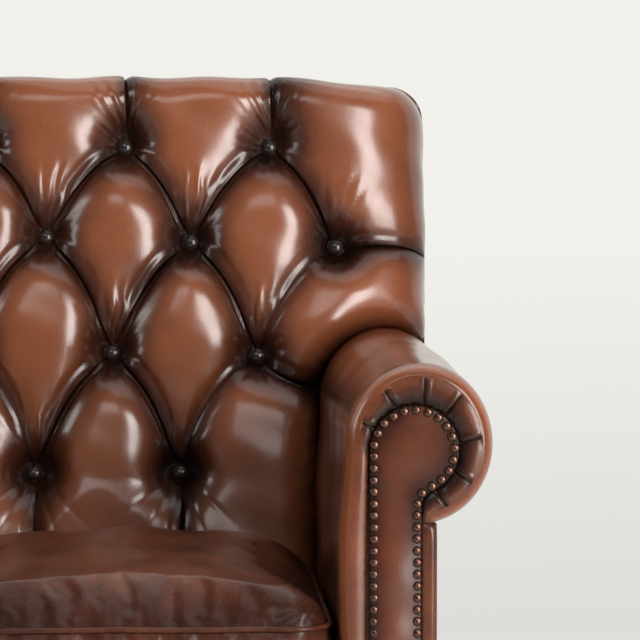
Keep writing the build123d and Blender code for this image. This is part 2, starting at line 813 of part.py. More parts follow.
welt_reach = welt_radius + soft_gap
with BuildPart() as seat_cushion_welts:
    for welt_z in (low_welt_z, top_welt_z):
        with BuildSketch(Plane.XY.offset(welt_z)) as seam:
            with Locations((0, cushion_mid_y)):
                RectangleRounded(
                    2 * (cushion_half_width + welt_reach),
                    cushion_depth + 2 * welt_reach,
                    cushion_corner_radius + welt_reach,
                )
        seam_wire = seam.sketch.faces()[0].outer_wire()
        with BuildSketch(Plane(origin=seam_wire @ 0, z_dir=seam_wire % 0)) as cord:
            Circle(welt_radius)
        sweep(sections=cord.sketch, path=seam_wire)
save(seat_cushion_welts.part, "seat_cushion_welts")

# Glued and screwed corner blocks of the seat frame
inner_rail_x = frame_half_width - rail_thick
block_z = foot_height + (rail_height - block_height) / 2
rear_block_y = back_y(block_z, post_front_w)
with BuildPart() as corner_blocks:
    for side in (right_side, left_side):
        with BuildSketch(Plane.XY.offset(block_z)):
            with BuildLine():
                Polyline(
                    (side * inner_rail_x, rail_back_y),
                    (side * (inner_rail_x - block_leg), rail_back_y),
                    (side * inner_rail_x, rail_back_y + block_leg),
                    close=True,
                )
            make_face()
            with BuildLine():
                Polyline(
                    (side * inner_rail_x, rear_block_y),
                    (side * (inner_rail_x - block_leg), rear_block_y),
                    (side * inner_rail_x, rear_block_y - block_leg),
                    close=True,
                )
            make_face()
        extrude(amount=block_height)
    screw_places = []
    for side in (right_side, left_side):
        screw_places.append(
            Plane(
                origin=(
                    side * (inner_rail_x - block_leg / 2),
                    rail_back_y + block_leg / 2,
                    block_z + block_height / 2,
                ),
                z_dir=(-side, 1, 0),
            )
        )
        screw_places.append(
            Plane(
                origin=(
                    side * (inner_rail_x - block_leg / 2),
                    rear_block_y - block_leg / 2,
                    block_z + block_height / 2,
                ),
                z_dir=(-side, -1, 0),
            )
        )
    for screw_plane in screw_places:
        with BuildSketch(screw_plane):
            Circle(screw_radius + bore_gap)
        extrude(amount=-screw_length - bore_gap, mode=Mode.SUBTRACT)
save(corner_blocks.part, "corner_blocks")

with BuildPart() as corner_block_screws:
    for screw_plane in screw_places:
        with BuildSketch(screw_plane):
            Circle(screw_radius)
        extrude(amount=-screw_length)
        with BuildSketch(screw_plane):
            Circle(screw_head_radius)
        extrude(amount=screw_head_height)
save(corner_block_screws.part, "corner_block_screws")

# Turned bun feet with their bolts and glides
foot_mid_z = (glide_height + foot_base + foot_height - foot_collar) / 2
with BuildPart() as bun_foot:
    with BuildSketch(Plane.XZ):
        with BuildLine():
            Line((0, glide_height), (foot_base_radius, glide_height))
            Line((foot_base_radius, glide_height), (foot_base_radius, glide_height + foot_base))
            ThreePointArc(
                (foot_base_radius, glide_height + foot_base),
                (foot_radius, foot_mid_z),
                (foot_top_radius, foot_height - foot_collar),
            )
            Line((foot_top_radius, foot_height - foot_collar), (foot_top_radius, foot_height))
            Line((foot_top_radius, foot_height), (0, foot_height))
            Line((0, foot_height), (0, glide_height))
        make_face()
    revolve(axis=Axis.Z)
    with BuildSketch(Plane.XY.offset(foot_height)):
        Circle(bolt_radius + bore_gap)
    extrude(amount=-bolt_in_foot - bore_gap, mode=Mode.SUBTRACT)

foot_names = ("front_right_foot", "front_left_foot", "rear_right_foot", "rear_left_foot")
for foot_name, place in zip(foot_names, foot_places):
    with BuildPart() as placed_foot:
        with Locations(place):
            add(bun_foot.part)
    save(placed_foot.part, foot_name)

with BuildPart() as foot_bolts:
    with BuildSketch(Plane.XY.offset(foot_height - bolt_in_foot)):
        with Locations(*foot_places):
            Circle(bolt_radius)
    extrude(amount=bolt_in_foot + bolt_in_rail)
save(foot_bolts.part, "foot_bolts")

with BuildPart() as foot_glides:
    with BuildSketch():
        with Locations(*foot_places):
            Circle(glide_radius)
    extrude(amount=glide_height)
save(foot_glides.part, "foot_glides")

# Dust cover stapled under the rails, cut round the feet
dust_front_y = rail_front_y + dust_cover_hem
dust_back_y = back_y(foot_height, 0) - dust_cover_hem
with BuildPart() as dust_cover:
    with BuildSketch(Plane.XY.offset(foot_height - dust_cover_thick)):
        with Locations((0, (dust_front_y + dust_back_y) / 2)):
            Rectangle(2 * (frame_half_width - dust_cover_hem), dust_back_y - dust_front_y)
        with Locations(*foot_places):
            Circle(foot_top_radius + dust_cover_hem, mode=Mode.SUBTRACT)
    extrude(amount=dust_cover_thick)
save(dust_cover.part, "dust_cover")
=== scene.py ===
import json
import logging
import math
from collections.abc import Callable, Sequence
from dataclasses import dataclass, field
from enum import Enum

import bmesh
import bpy
import numpy as np
from bpy.types import Material, Mesh, Node, NodeSocket, NodeTree, Object
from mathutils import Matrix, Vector


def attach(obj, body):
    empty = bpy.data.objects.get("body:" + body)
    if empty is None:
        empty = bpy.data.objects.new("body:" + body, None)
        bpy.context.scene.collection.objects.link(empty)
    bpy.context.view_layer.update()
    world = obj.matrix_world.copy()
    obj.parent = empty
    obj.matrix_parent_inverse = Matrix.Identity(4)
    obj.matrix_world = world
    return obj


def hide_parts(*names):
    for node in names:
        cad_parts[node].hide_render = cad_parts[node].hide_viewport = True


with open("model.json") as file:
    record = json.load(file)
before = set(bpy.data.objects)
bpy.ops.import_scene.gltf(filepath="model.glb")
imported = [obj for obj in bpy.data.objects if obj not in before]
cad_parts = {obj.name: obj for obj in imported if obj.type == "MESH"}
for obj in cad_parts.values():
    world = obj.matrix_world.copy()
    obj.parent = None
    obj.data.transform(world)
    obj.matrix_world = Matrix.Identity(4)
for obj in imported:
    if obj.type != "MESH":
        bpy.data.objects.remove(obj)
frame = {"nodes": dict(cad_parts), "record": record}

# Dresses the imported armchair: leather upholstery, bronze nails, feet and studio.
# Lengths in the classes are millimetres; meshes are written in metres.

log = logging.getLogger("armchair")
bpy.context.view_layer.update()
MM = 0.001
FULL_TURN = 2 * math.pi
HALF_TURN = math.pi
QUARTER_TURN = math.pi / 2
BLACK = (0.0, 0.0, 0.0, 1.0)
FRONT = np.array([0.0, -1.0, 0.0])
Feed = NodeSocket | float | tuple
Array = np.ndarray


class Side(Enum):
    """The two sides of the chair, as seen by a person who looks at its front."""

    RIGHT = 1
    LEFT = -1

    @property
    def word(self) -> str:
        """The word that starts the names of this side's parts."""
        return self.name.lower()


# Mesh helpers


def add_mesh(name: str, points: Array, faces: list) -> Object:
    """Put a surface into the scene as an object at the origin, its corners in metres.

    Args:
        name: name of the new object.
        points: array of corner places, in millimetres.
        faces: lists of corner numbers.

    Returns:
        The new object.
    """
    mesh = bpy.data.meshes.new(name)
    mesh.from_pydata((np.asarray(points, float) * MM).tolist(), [], faces)
    mesh.update()
    piece = bpy.data.objects.new(name, mesh)
    bpy.context.scene.collection.objects.link(piece)
    return piece


def weld(piece: Object, gap: float = 0.02) -> None:
    """Join corners that lie together and turn all the faces outwards.

    Args:
        piece: the object to clean.
        gap: largest distance between corners that are joined, in millimetres.
    """
    sliver = gap / 4
    work = bmesh.new()
    work.from_mesh(piece.data)
    bmesh.ops.remove_doubles(work, verts=work.verts, dist=gap * MM)
    bmesh.ops.dissolve_degenerate(work, edges=work.edges, dist=sliver * MM)
    bmesh.ops.recalc_face_normals(work, faces=work.faces)
    for face in work.faces:
        face.smooth = True
    work.to_mesh(piece.data)
    work.free()


def grid_faces(rows: int, columns: int, start: int = 0, wrap: bool = False) -> list:
    """Quads of a grid of corners numbered row by row.

    Args:
        rows: number of rows of corners.
        columns: number of corners in a row.
        start: number of the first corner.
        wrap: whether the last column joins the first.

    Returns:
        A list of quads.
    """
    index = start + np.arange(rows * columns).reshape(rows, columns)
    if wrap:
        index = np.concatenate([index, index[:, :1]], axis=1)
    quads = np.stack([index[:-1, :-1], index[:-1, 1:], index[1:, 1:], index[1:, :-1]], axis=-1)
    return quads.reshape(-1, 4).tolist()


def set_tone(piece: Object, values: Array) -> None:
    """Store the tone of the leather on the corners, 0 in the folds and 1 on the crests; it holds rubbed
    wear and dark wax, and also painted shade and painted highlight.
    """
    layer = piece.data.attributes.new("tone", "FLOAT", "POINT")
    layer.data.foreach_set("value", np.asarray(values, np.float32))


def lofted(name: str, rings: Array, tone: Array, close_last: bool = True) -> Object:
    """Piece carried through closed rings of corners, with its ends capped.

    Args:
        name: name of the new object.
        rings: the rings, each an array of corner places.
        tone: rubbed tone of each corner, ring by ring.
        close_last: whether the last ring is capped too, as the first one is.

    Returns:
        The new object.
    """
    count = rings.shape[1]
    points = rings.reshape(-1, 3)
    faces = grid_faces(len(rings), count, wrap=True)
    faces.append(list(range(count)))
    if close_last:
        faces.append(list(range(len(points) - count, len(points)))[::-1])
    piece = add_mesh(name, points, faces)
    set_tone(piece, tone.reshape(-1))
    weld(piece)
    return piece


def smoothstep(value: Array, low: float, high: float) -> Array:
    """Ramp from 0 at low to 1 at high with level ends: 3t^2 - 2t^3."""
    t = np.clip((value - low) / (high - low), 0, 1)
    return t * t * (3 - 2 * t)


def bell(value: Array, half: float) -> Array:
    """Bell that is 1 at 0 and falls off over a half width: exp(-(value/half)^2)."""
    return np.exp(-((value / half) ** 2))


def unevenness(a: Array, b: Array, wave: float, seed: int) -> Array:
    """Smooth seeded irregularity between about -1 and 1 over two coordinates.

    It is a sum of seven sine waves of random heading, phase and length, over the root of 7.

    Args:
        a: first coordinate.
        b: second coordinate.
        wave: typical wave length.
        seed: seed of the headings and phases.

    Returns:
        The values, in the shape of the coordinates.
    """
    rng = np.random.default_rng(seed)
    total = np.zeros_like(np.asarray(a, float))
    count = 7
    for _ in range(count):
        heading, phase = rng.uniform(0, FULL_TURN, 2)
        step = FULL_TURN / (wave * rng.uniform(0.7, 1.5))
        total = total + np.sin(step * (a * math.cos(heading) + b * math.sin(heading)) + phase)
    return total / math.sqrt(count)


def lengths_along(line: Array) -> Array:
    """Length of a bent line from its first point to each of its points."""
    return np.concatenate([[0], np.cumsum(np.linalg.norm(np.diff(line, axis=0), axis=1))])


def points_at(line: Array, at: Array) -> Array:
    """Points of a bent line at given lengths from its first point."""
    length = lengths_along(line)
    return np.stack([np.interp(at, length, line[:, 0]), np.interp(at, length, line[:, 1])], -1)


def distance_to_line(points: Array, line: Array) -> tuple[Array, Array]:
    """Distance from points to a bent line, and how far along the line the nearest spot is.

    Args:
        points: array of n points in the plane.
        line: array of the line's points.

    Returns:
        The n distances, and the n shares (0 to 1) along the line.
    """
    start, run = line[:-1], np.diff(line, axis=0)
    size = np.maximum((run**2).sum(1), 1e-9)
    share = np.clip(((points[:, None] - start) * run).sum(2) / size, 0, 1)
    gap = np.linalg.norm(points[:, None] - (start + share[..., None] * run), axis=2)
    best = gap.argmin(1)
    rows = np.arange(len(points))
    along = (best + share[rows, best]) / len(run)
    return gap[rows, best], along


# Node groups


class Group:
    """A shader node group with named inputs and outputs, built once."""

    def __init__(self, name: str, inputs: dict, outputs: dict) -> None:
        """Make the group's sockets.

        Args:
            name: name of the group.
            inputs: input names with the kinds of their values.
            outputs: output names with the kinds of theirs.
        """
        self.tree = bpy.data.node_groups.new(name, "ShaderNodeTree")
        face = self.tree.interface
        for way, kinds in (("INPUT", inputs), ("OUTPUT", outputs)):
            for label, kind in kinds.items():
                face.new_socket(name=label, in_out=way, socket_type=f"NodeSocket{kind}")
        self.start = self.tree.nodes.new("NodeGroupInput")
        self.end = self.tree.nodes.new("NodeGroupOutput")


def feed(tree: NodeTree, made: Node, links: dict) -> None:
    """Link sockets to a node's inputs, or set their values.

    Args:
        tree: the node tree.
        made: the node.
        links: input name or number, with a socket to link or a value to set.
    """
    for label, value in links.items():
        if isinstance(value, NodeSocket):
            tree.links.new(value, made.inputs[label])
        else:
            made.inputs[label].default_value = value


def node(tree: NodeTree, kind: str, links: dict, **settings: object) -> Node:
    """Add a shader node, set its options and feed its inputs.

    Args:
        tree: the node tree.
        kind: type of the node.
        links: input name or number, with a socket to link or a value to set.
        settings: properties of the node.

    Returns:
        The new node.
    """
    made = tree.nodes.new(kind)
    for label, value in settings.items():
        setattr(made, label, value)
    feed(tree, made, links)
    return made


def math_node(tree: NodeTree, work: str, *values: Feed) -> NodeSocket:
    """Result of a math node on sockets or numbers."""
    return node(tree, "ShaderNodeMath", dict(enumerate(values)), operation=work).outputs[0]


def mix_colour(tree: NodeTree, share: Feed, first: Feed, second: Feed) -> NodeSocket:
    """Blend of two colours by a share, on the colour inputs 6 and 7 of a Mix node."""
    links = {0: share, 6: first, 7: second}
    return node(tree, "ShaderNodeMix", links, data_type="RGBA").outputs[2]


def ramp(tree: NodeTree, value: Feed, stops: list) -> NodeSocket:
    """Level of a ramp between two stops.

    Args:
        tree: the node tree.
        value: what the ramp reads.
        stops: the two stops, each a place and a level.

    Returns:
        The level's socket.
    """
    made = node(tree, "ShaderNodeValToRGB", {"Fac": value})
    for element, (place, level) in zip(made.color_ramp.elements, stops):
        element.position = place
        element.color = (level, level, level, 1)
    return made.outputs[0]


def srgb(*levels: int) -> tuple:
    """Linear colour, with its alpha, of the red, green and blue levels (0 to 255) of a screen."""
    shares = [level / 255 for level in levels]
    return (*[c / 12.92 if c <= 0.04045 else ((c + 0.055) / 1.055) ** 2.4 for c in shares], 1.0)


def hide_grain_group() -> NodeTree:
    """Fine pebble of the hide with short cross creases.

    Returns:
        A group: Vector in, Height and Crease out.
    """
    group = Group("hide_grain", {"Vector": "Vector"}, {"Height": "Float", "Crease": "Float"})
    tree, place = group.tree, group.start.outputs[0]
    links = {"Vector": place, "Scale": 620.0}
    pebble = node(tree, "ShaderNodeTexVoronoi", links, feature="SMOOTH_F1")
    links = {"Vector": place, "Scale": 230.0, "Randomness": 1.0}
    web = node(tree, "ShaderNodeTexVoronoi", links, feature="DISTANCE_TO_EDGE")
    links = {"Vector": place, "Scale": 260.0, "Detail": 3.0, "Roughness": 0.6}
    fine = node(tree, "ShaderNodeTexNoise", links)
    soft = node(tree, "ShaderNodeTexNoise", {"Vector": place, "Scale": 38.0, "Detail": 2.0})
    crease = ramp(tree, web.outputs[0], [(0.0, 0.0), (0.09, 1.0)])
    gate = ramp(tree, soft.outputs[0], [(0.42, 0.0), (0.66, 1.0)])
    shown = math_node(tree, "MULTIPLY", math_node(tree, "SUBTRACT", 1.0, crease), gate)
    body = math_node(tree, "MULTIPLY", pebble.outputs[0], -0.35)
    body = math_node(tree, "ADD", body, math_node(tree, "MULTIPLY", fine.outputs[0], 0.6))
    height = math_node(tree, "SUBTRACT", body, math_node(tree, "MULTIPLY", shown, 0.5))
    feed(tree, group.end, {0: height, 1: shown})
    return tree


def hide_colour_group() -> NodeTree:
    """Hand-rubbed colour: dark in the folds, partly dark wax and partly painted shade, brown between and
    rust on the crests.

    Cloudy noise pushes the tone up and down, and the tone picks the colour.

    Returns:
        A group: Vector, Tone, Cloud and three colours in, Color and the clamped tone of wear and painted
            shade out.
    """
    inputs = {"Vector": "Vector", "Tone": "Float", "Cloud": "Float"}
    inputs |= {"Dark": "Color", "Middle": "Color", "Rubbed": "Color"}
    group = Group("hide_colour", inputs, {"Color": "Color", "Wear_and_shade": "Float"})
    tree, start = group.tree, group.start
    place = start.outputs[0]
    links = {"Vector": place, "Scale": 16.0, "Detail": 5.0, "Roughness": 0.62}
    cloud = node(tree, "ShaderNodeTexNoise", links)
    patch = node(tree, "ShaderNodeTexNoise", {"Vector": place, "Scale": 5.0, "Detail": 2.0})
    stretched = node(tree, "ShaderNodeVectorMath", {0: place, 1: (1.0, 1.0, 0.4)}, operation="MULTIPLY")
    links = {"Vector": stretched.outputs[0], "Scale": 330.0, "Detail": 3.0, "Roughness": 0.7}
    brushed = node(tree, "ShaderNodeTexNoise", links)
    fine = math_node(tree, "MULTIPLY", math_node(tree, "SUBTRACT", brushed.outputs[0], 0.5), 0.7)
    both = math_node(tree, "ADD", cloud.outputs[0], patch.outputs[0])
    both = math_node(tree, "ADD", both, fine)
    push = math_node(tree, "MULTIPLY", math_node(tree, "SUBTRACT", both, 1.0), start.outputs[2])
    tone = math_node(tree, "ADD", start.outputs[1], push)
    tone = node(tree, "ShaderNodeClamp", {0: tone}).outputs[0]
    low = ramp(tree, tone, [(0.0, 0.0), (0.5, 1.0)])
    high = ramp(tree, tone, [(0.45, 0.0), (1.0, 1.0)])
    colour = mix_colour(tree, low, start.outputs[3], start.outputs[4])
    colour = mix_colour(tree, high, colour, start.outputs[5])
    feed(tree, group.end, {0: colour, 1: tone})
    return tree


def streaks_group() -> NodeTree:
    """Cloudy tarnish or wood-like streaks along one direction.

    Returns:
        A group: Vector, Fine and Stretch in, Mask out.
    """
    inputs = {"Vector": "Vector", "Fine": "Float", "Stretch": "Float"}
    group = Group("streaks", inputs, {"Mask": "Float"})
    tree, start = group.tree, group.start
    scale = node(tree, "ShaderNodeCombineXYZ", {0: 1.0, 1: 1.0, 2: start.outputs[2]})
    links = {0: start.outputs[0], 1: scale.outputs[0]}
    place = node(tree, "ShaderNodeVectorMath", links, operation="MULTIPLY").outputs[0]
    links = {"Vector": place, "Scale": start.outputs[1], "Detail": 6.0, "Distortion": 0.6}
    streak = node(tree, "ShaderNodeTexNoise", links)
    feed(tree, group.end, {0: streak.outputs[0]})
    return tree


def new_material(name: str) -> tuple[Material, NodeTree, Node, NodeSocket]:
    """Start a material.

    Args:
        name: name of the material.

    Returns:
        The material, its node tree, its Principled shader and the place on the piece.
    """
    material = bpy.data.materials.new(name)
    material.use_nodes = True
    tree = material.node_tree
    place = node(tree, "ShaderNodeTexCoord", {}).outputs["Object"]
    return material, tree, tree.nodes["Principled BSDF"], place


class Groups:
    """The node groups that the finishes share."""

    def __init__(self) -> None:
        """Build every shared group once."""
        self.grain = hide_grain_group()
        self.colour = hide_colour_group()
        self.streaks = streaks_group()


@dataclass(frozen=True)
class Leather:
    """Waxed upholstery leather, dyed dark and rubbed back by hand; its tone also paints shade into the
    folds and highlight onto the arm tops.
    """

    name: str
    dark: tuple
    middle: tuple
    rubbed: tuple
    tone: float | None = None
    cloud: float = 0.3
    gloss: float = 0.19
    worn_gloss: float = 0.25
    coat: float = 0.85
    coat_roughness: float = 0.2
    coat_ior: float = 1.5
    specular: float = 0.32
    ior: float = 1.48
    grain: float = 0.17
    relief: float = 0.0012

    def make(self, groups: Groups) -> Material:
        """Build the material; without a tone it reads the tone stored on the mesh.

        Args:
            groups: the shared node groups.

        Returns:
            The material.
        """
        material, tree, shader, place = new_material(self.name)
        tone = self.tone
        if tone is None:
            tone = node(tree, "ShaderNodeAttribute", {}, attribute_name="tone").outputs["Fac"]
        links = {"Vector": place, "Tone": tone, "Cloud": self.cloud}
        links |= {"Dark": self.dark, "Middle": self.middle, "Rubbed": self.rubbed}
        colour = node(tree, "ShaderNodeGroup", links, node_tree=groups.colour)
        grain = node(tree, "ShaderNodeGroup", {"Vector": place}, node_tree=groups.grain)
        dim = math_node(tree, "MULTIPLY", grain.outputs["Crease"], 0.2)
        shade = mix_colour(tree, dim, colour.outputs["Color"], self.dark)
        wear_and_shade = colour.outputs["Wear_and_shade"]
        rough = ramp(tree, wear_and_shade, [(0.0, self.gloss), (1.0, self.worn_gloss)])
        coat = ramp(tree, wear_and_shade, [(0.0, 0.15 * self.coat), (0.8, self.coat)])
        links = {"Strength": self.grain, "Distance": self.relief, "Height": grain.outputs["Height"]}
        bump = node(tree, "ShaderNodeBump", links).outputs[0]
        links = {"Base Color": shade, "Roughness": rough, "Normal": bump, "IOR": self.ior}
        links |= {"Coat Weight": coat, "Coat Roughness": self.coat_roughness}
        links |= {"Coat IOR": self.coat_ior, "Specular IOR Level": self.specular}
        feed(tree, shader, links)
        return material


@dataclass(frozen=True)
class Plain:
    """Wood, metal, cloth, filling or plastic with streaked or cloudy colour."""

    name: str
    first: tuple
    second: tuple
    roughness: float = 0.5
    metallic: float = 0.0
    fine: float = 40.0
    stretch: float = 1.0
    bump: float = 0.1
    relief: float = 0.0008
    coat: float = 0.0

    def make(self, groups: Groups) -> Material:
        """Build the material.

        Args:
            groups: the shared node groups.

        Returns:
            The material.
        """
        material, tree, shader, place = new_material(self.name)
        links = {"Vector": place, "Fine": self.fine, "Stretch": self.stretch}
        streaks = node(tree, "ShaderNodeGroup", links, node_tree=groups.streaks)
        share = ramp(tree, streaks.outputs[0], [(0.35, 0.0), (0.65, 1.0)])
        colour = mix_colour(tree, share, self.first, self.second)
        low, high = self.roughness * 0.85, min(1.0, self.roughness * 1.2)
        rough = ramp(tree, streaks.outputs[0], [(0.3, low), (0.7, high)])
        links = {"Strength": self.bump, "Distance": self.relief, "Height": streaks.outputs[0]}
        bump = node(tree, "ShaderNodeBump", links).outputs[0]
        links = {"Base Color": colour, "Roughness": rough, "Normal": bump}
        feed(tree, shader, links | {"Metallic": self.metallic, "Coat Weight": self.coat})
        return material


@dataclass
class Finishes:
    """Every finish of the chair, made once and handed to the pieces."""

    groups: Groups
    made: dict = field(default_factory=dict)

    def build(self) -> None:
        """Make all the materials."""
        # The dark colour is what the folds take: partly dark wax, partly painted shade.
        dark, middle, rubbed = srgb(25, 13, 10), srgb(86, 45, 28), srgb(144, 82, 50)
        finishes = [
            Leather("whisky_leather", dark, middle, rubbed, cloud=0.4),
            Leather(
                "arm_leather", dark, srgb(78, 42, 28), srgb(146, 82, 50),
                cloud=0.4, coat=0.55, specular=0.26,
            ),
            Leather(
                "facing_leather", dark, srgb(62, 30, 19), srgb(106, 56, 35),
                cloud=0.45, coat=0.5, specular=0.22,
            ),
            Leather(
                "cushion_leather", srgb(24, 14, 11), srgb(72, 38, 26), srgb(118, 67, 43),
                cloud=0.8, grain=0.22, coat=0.15, specular=0.2, gloss=0.26, worn_gloss=0.3,
            ),
            Leather("outside_leather", dark, middle, rubbed, tone=0.5, cloud=0.4),
            Leather("button_leather", srgb(20, 14, 12), srgb(38, 26, 22), srgb(60, 40, 32), 0.4),
            Plain("beech", srgb(196, 158, 112), srgb(222, 188, 142), 0.6, fine=60, stretch=0.1),
            Plain("mahogany", srgb(52, 24, 15), srgb(92, 44, 26), 0.32, 0.0, 46, 0.12, coat=0.5),
            Plain("nail_bronze", srgb(84, 60, 50), srgb(126, 94, 80), 0.3, 1.0, fine=500),
            Plain("spring_steel", srgb(112, 114, 118), srgb(150, 152, 156), 0.35, metallic=1.0),
            Plain("jute", srgb(150, 118, 78), srgb(184, 152, 106), 0.9, fine=320, bump=0.5),
            Plain("deck_cloth", srgb(38, 36, 35), srgb(54, 51, 49), 0.95, fine=500, bump=0.4),
            Plain("stuffing", srgb(206, 198, 182), srgb(230, 224, 210), 0.95, fine=150, bump=0.4),
            Plain("glide_plastic", srgb(30, 29, 28), srgb(44, 42, 40), 0.5, fine=200),
        ]
        for finish in finishes:
            self.made[finish.name] = finish.make(self.groups)

    def declare(
        self, piece: Object, finish: str, nodes: Sequence[str] = (),
        body: str = "chair_frame",
    ) -> None:
        """Dress a new piece, fasten it to its body and report it.

        Args:
            piece: the piece.
            finish: name of its finish.
            nodes: CAD nodes that it stands for.
            body: body that it rides on.
        """
        piece.data.materials.clear()
        piece.data.materials.append(self.made[finish])
        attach(piece, body)
        if nodes:
            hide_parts(*nodes)
        log.info("%s: %d corners", piece.name, len(piece.data.vertices))

    def dress_node(self, name: str, finish: str) -> None:
        """Give every material slot of a CAD node one finish."""
        for slot in frame["nodes"][name].material_slots:
            slot.material = self.made[finish]


# Record slots whose nodes wear another finish
FINISH_OF_SLOT = dict.fromkeys(("leather", "cushion_leather", "facing_leather"), "outside_leather")


# Shape of the chair


@dataclass(frozen=True)
class BackPlane:
    """The leaning plane of the back, with depths measured in front of its outside face."""

    lean: float = math.radians(11.0)
    foot_y: float = 248.0
    foot_z: float = 98.0

    def place(self, x: Array, v: Array, w: Array) -> Array:
        """Points of the chair at places on the plane.

        Args:
            x: distances to the right of the chair's middle.
            v: heights up the plane.
            w: depths in front of it.

        Returns:
            Array of points.
        """
        z = self.foot_z + v * math.cos(self.lean) + w * math.sin(self.lean)
        y = self.foot_y + v * math.sin(self.lean) - w * math.cos(self.lean)
        return np.stack([x + 0 * y, y, z], axis=-1)

    def height_of(self, z: Array, w: Array) -> Array:
        """Height v up the plane of a point at a height z and a depth w."""
        return (z - self.foot_z - w * math.sin(self.lean)) / math.cos(self.lean)

    def y_of(self, z: Array, w: float) -> Array:
        """Y of the plane moved forward by w, at a height z."""
        return self.foot_y + (z - self.foot_z) * math.tan(self.lean) - w / math.cos(self.lean)


@dataclass(frozen=True)
class ArmShape:
    """Front outline of the right arm, and the nail line of its facing."""

    inner_x: float = 260.0
    outer_x: float = 367.0
    half_width: float = 87.0
    half_height: float = 95.0
    roll_z: float = 596.0
    foot_z: float = 98.0
    nail_x: float = 293.0
    neck_x: float = 343.0
    head_radius: float = 47.0
    head_z: float = 590.0
    neck_fillet: float = 25.0
    fillet_start: float = math.radians(-58)

    @property
    def roll_x(self) -> float:
        """X of the middle of the roll."""
        return self.inner_x + self.half_width

    @property
    def join_angle(self) -> float:
        """Angle on the roll where it meets the outside panel."""
        return math.asin((self.outer_x - self.roll_x) / self.half_width) - QUARTER_TURN

    def outline(self, angle: Array, margin: float = 0.0) -> Array:
        """Points (x, z) of the roll's ellipse at angles from its +X side, a margin outside it."""
        half = np.array([self.half_width, self.half_height]) + margin
        return np.array([self.roll_x, self.roll_z]) + half * np.stack([np.cos(angle), np.sin(angle)], -1)

    def nail_curve(self, angle: Array, margin: float = 0.0) -> Array:
        """Points (x, z) of the nail line that face the roll's outline at the same angles.

        The head arc takes the angles from half a turn down to fillet_start, and the neck's
        fillet takes the rest of them down to the join.

        Args:
            angle: angles on the roll's ellipse.
            margin: distance outside the nail line.

        Returns:
            Array of points.
        """
        head_x = self.nail_x + self.head_radius
        fillet_x = self.neck_x + self.neck_fillet
        drop = self.head_z - self.neck_z
        turn = math.atan2(drop, fillet_x - head_x)
        share = (angle - HALF_TURN) / (self.fillet_start - HALF_TURN)
        head_angle = HALF_TURN - np.clip(share, 0, 1) * (HALF_TURN + turn)
        reach = self.head_radius + margin
        z = self.head_z + reach * np.sin(head_angle)
        head = np.stack([head_x + reach * np.cos(head_angle), z], -1)
        late = np.clip((angle - self.fillet_start) / (self.join_angle - self.fillet_start), 0, 1)
        neck_angle = HALF_TURN - turn + late * turn
        small = self.neck_fillet - margin
        z = self.neck_z + small * np.sin(neck_angle)
        neck = np.stack([fillet_x + small * np.cos(neck_angle), z], -1)
        return np.where((angle < self.fillet_start)[..., None], neck, head)

    @property
    def neck_z(self) -> float:
        """Height of the middle of the neck's fillet, which ends there in the outer nail column."""
        across = self.neck_x + self.neck_fillet - self.nail_x - self.head_radius
        return self.head_z - math.sqrt((self.head_radius + self.neck_fillet) ** 2 - across**2)


PLANE = BackPlane()
ARM = ArmShape()


def mirror_side(points: Array, side: Side) -> Array:
    """Points of the right side, or their mirror image for the left side."""
    return points * np.array([side.value, 1, 1])


# Tufted back


class Edge(Enum):
    """How a panel of the tufting meets what is beside it."""

    OVER = "this panel's fold lies over its neighbour"
    UNDER = "this panel runs under its neighbour's fold"
    FREE = "no pleat: the border, the arm or the seat"


@dataclass
class Seam:
    """One side of a panel: its sampled line, how it meets its neighbour, its pleat's depth.

    A pleat that fades is deep at the share bound of its line and flat beyond the share run.
    """

    line: Array
    edge: Edge = Edge.FREE
    fade: bool = False
    bound: float = 0.0
    # Widens the dark band beside the pleat: partly dark wax, partly painted shade.
    dark: float = 0.0
    run: float = 1.0


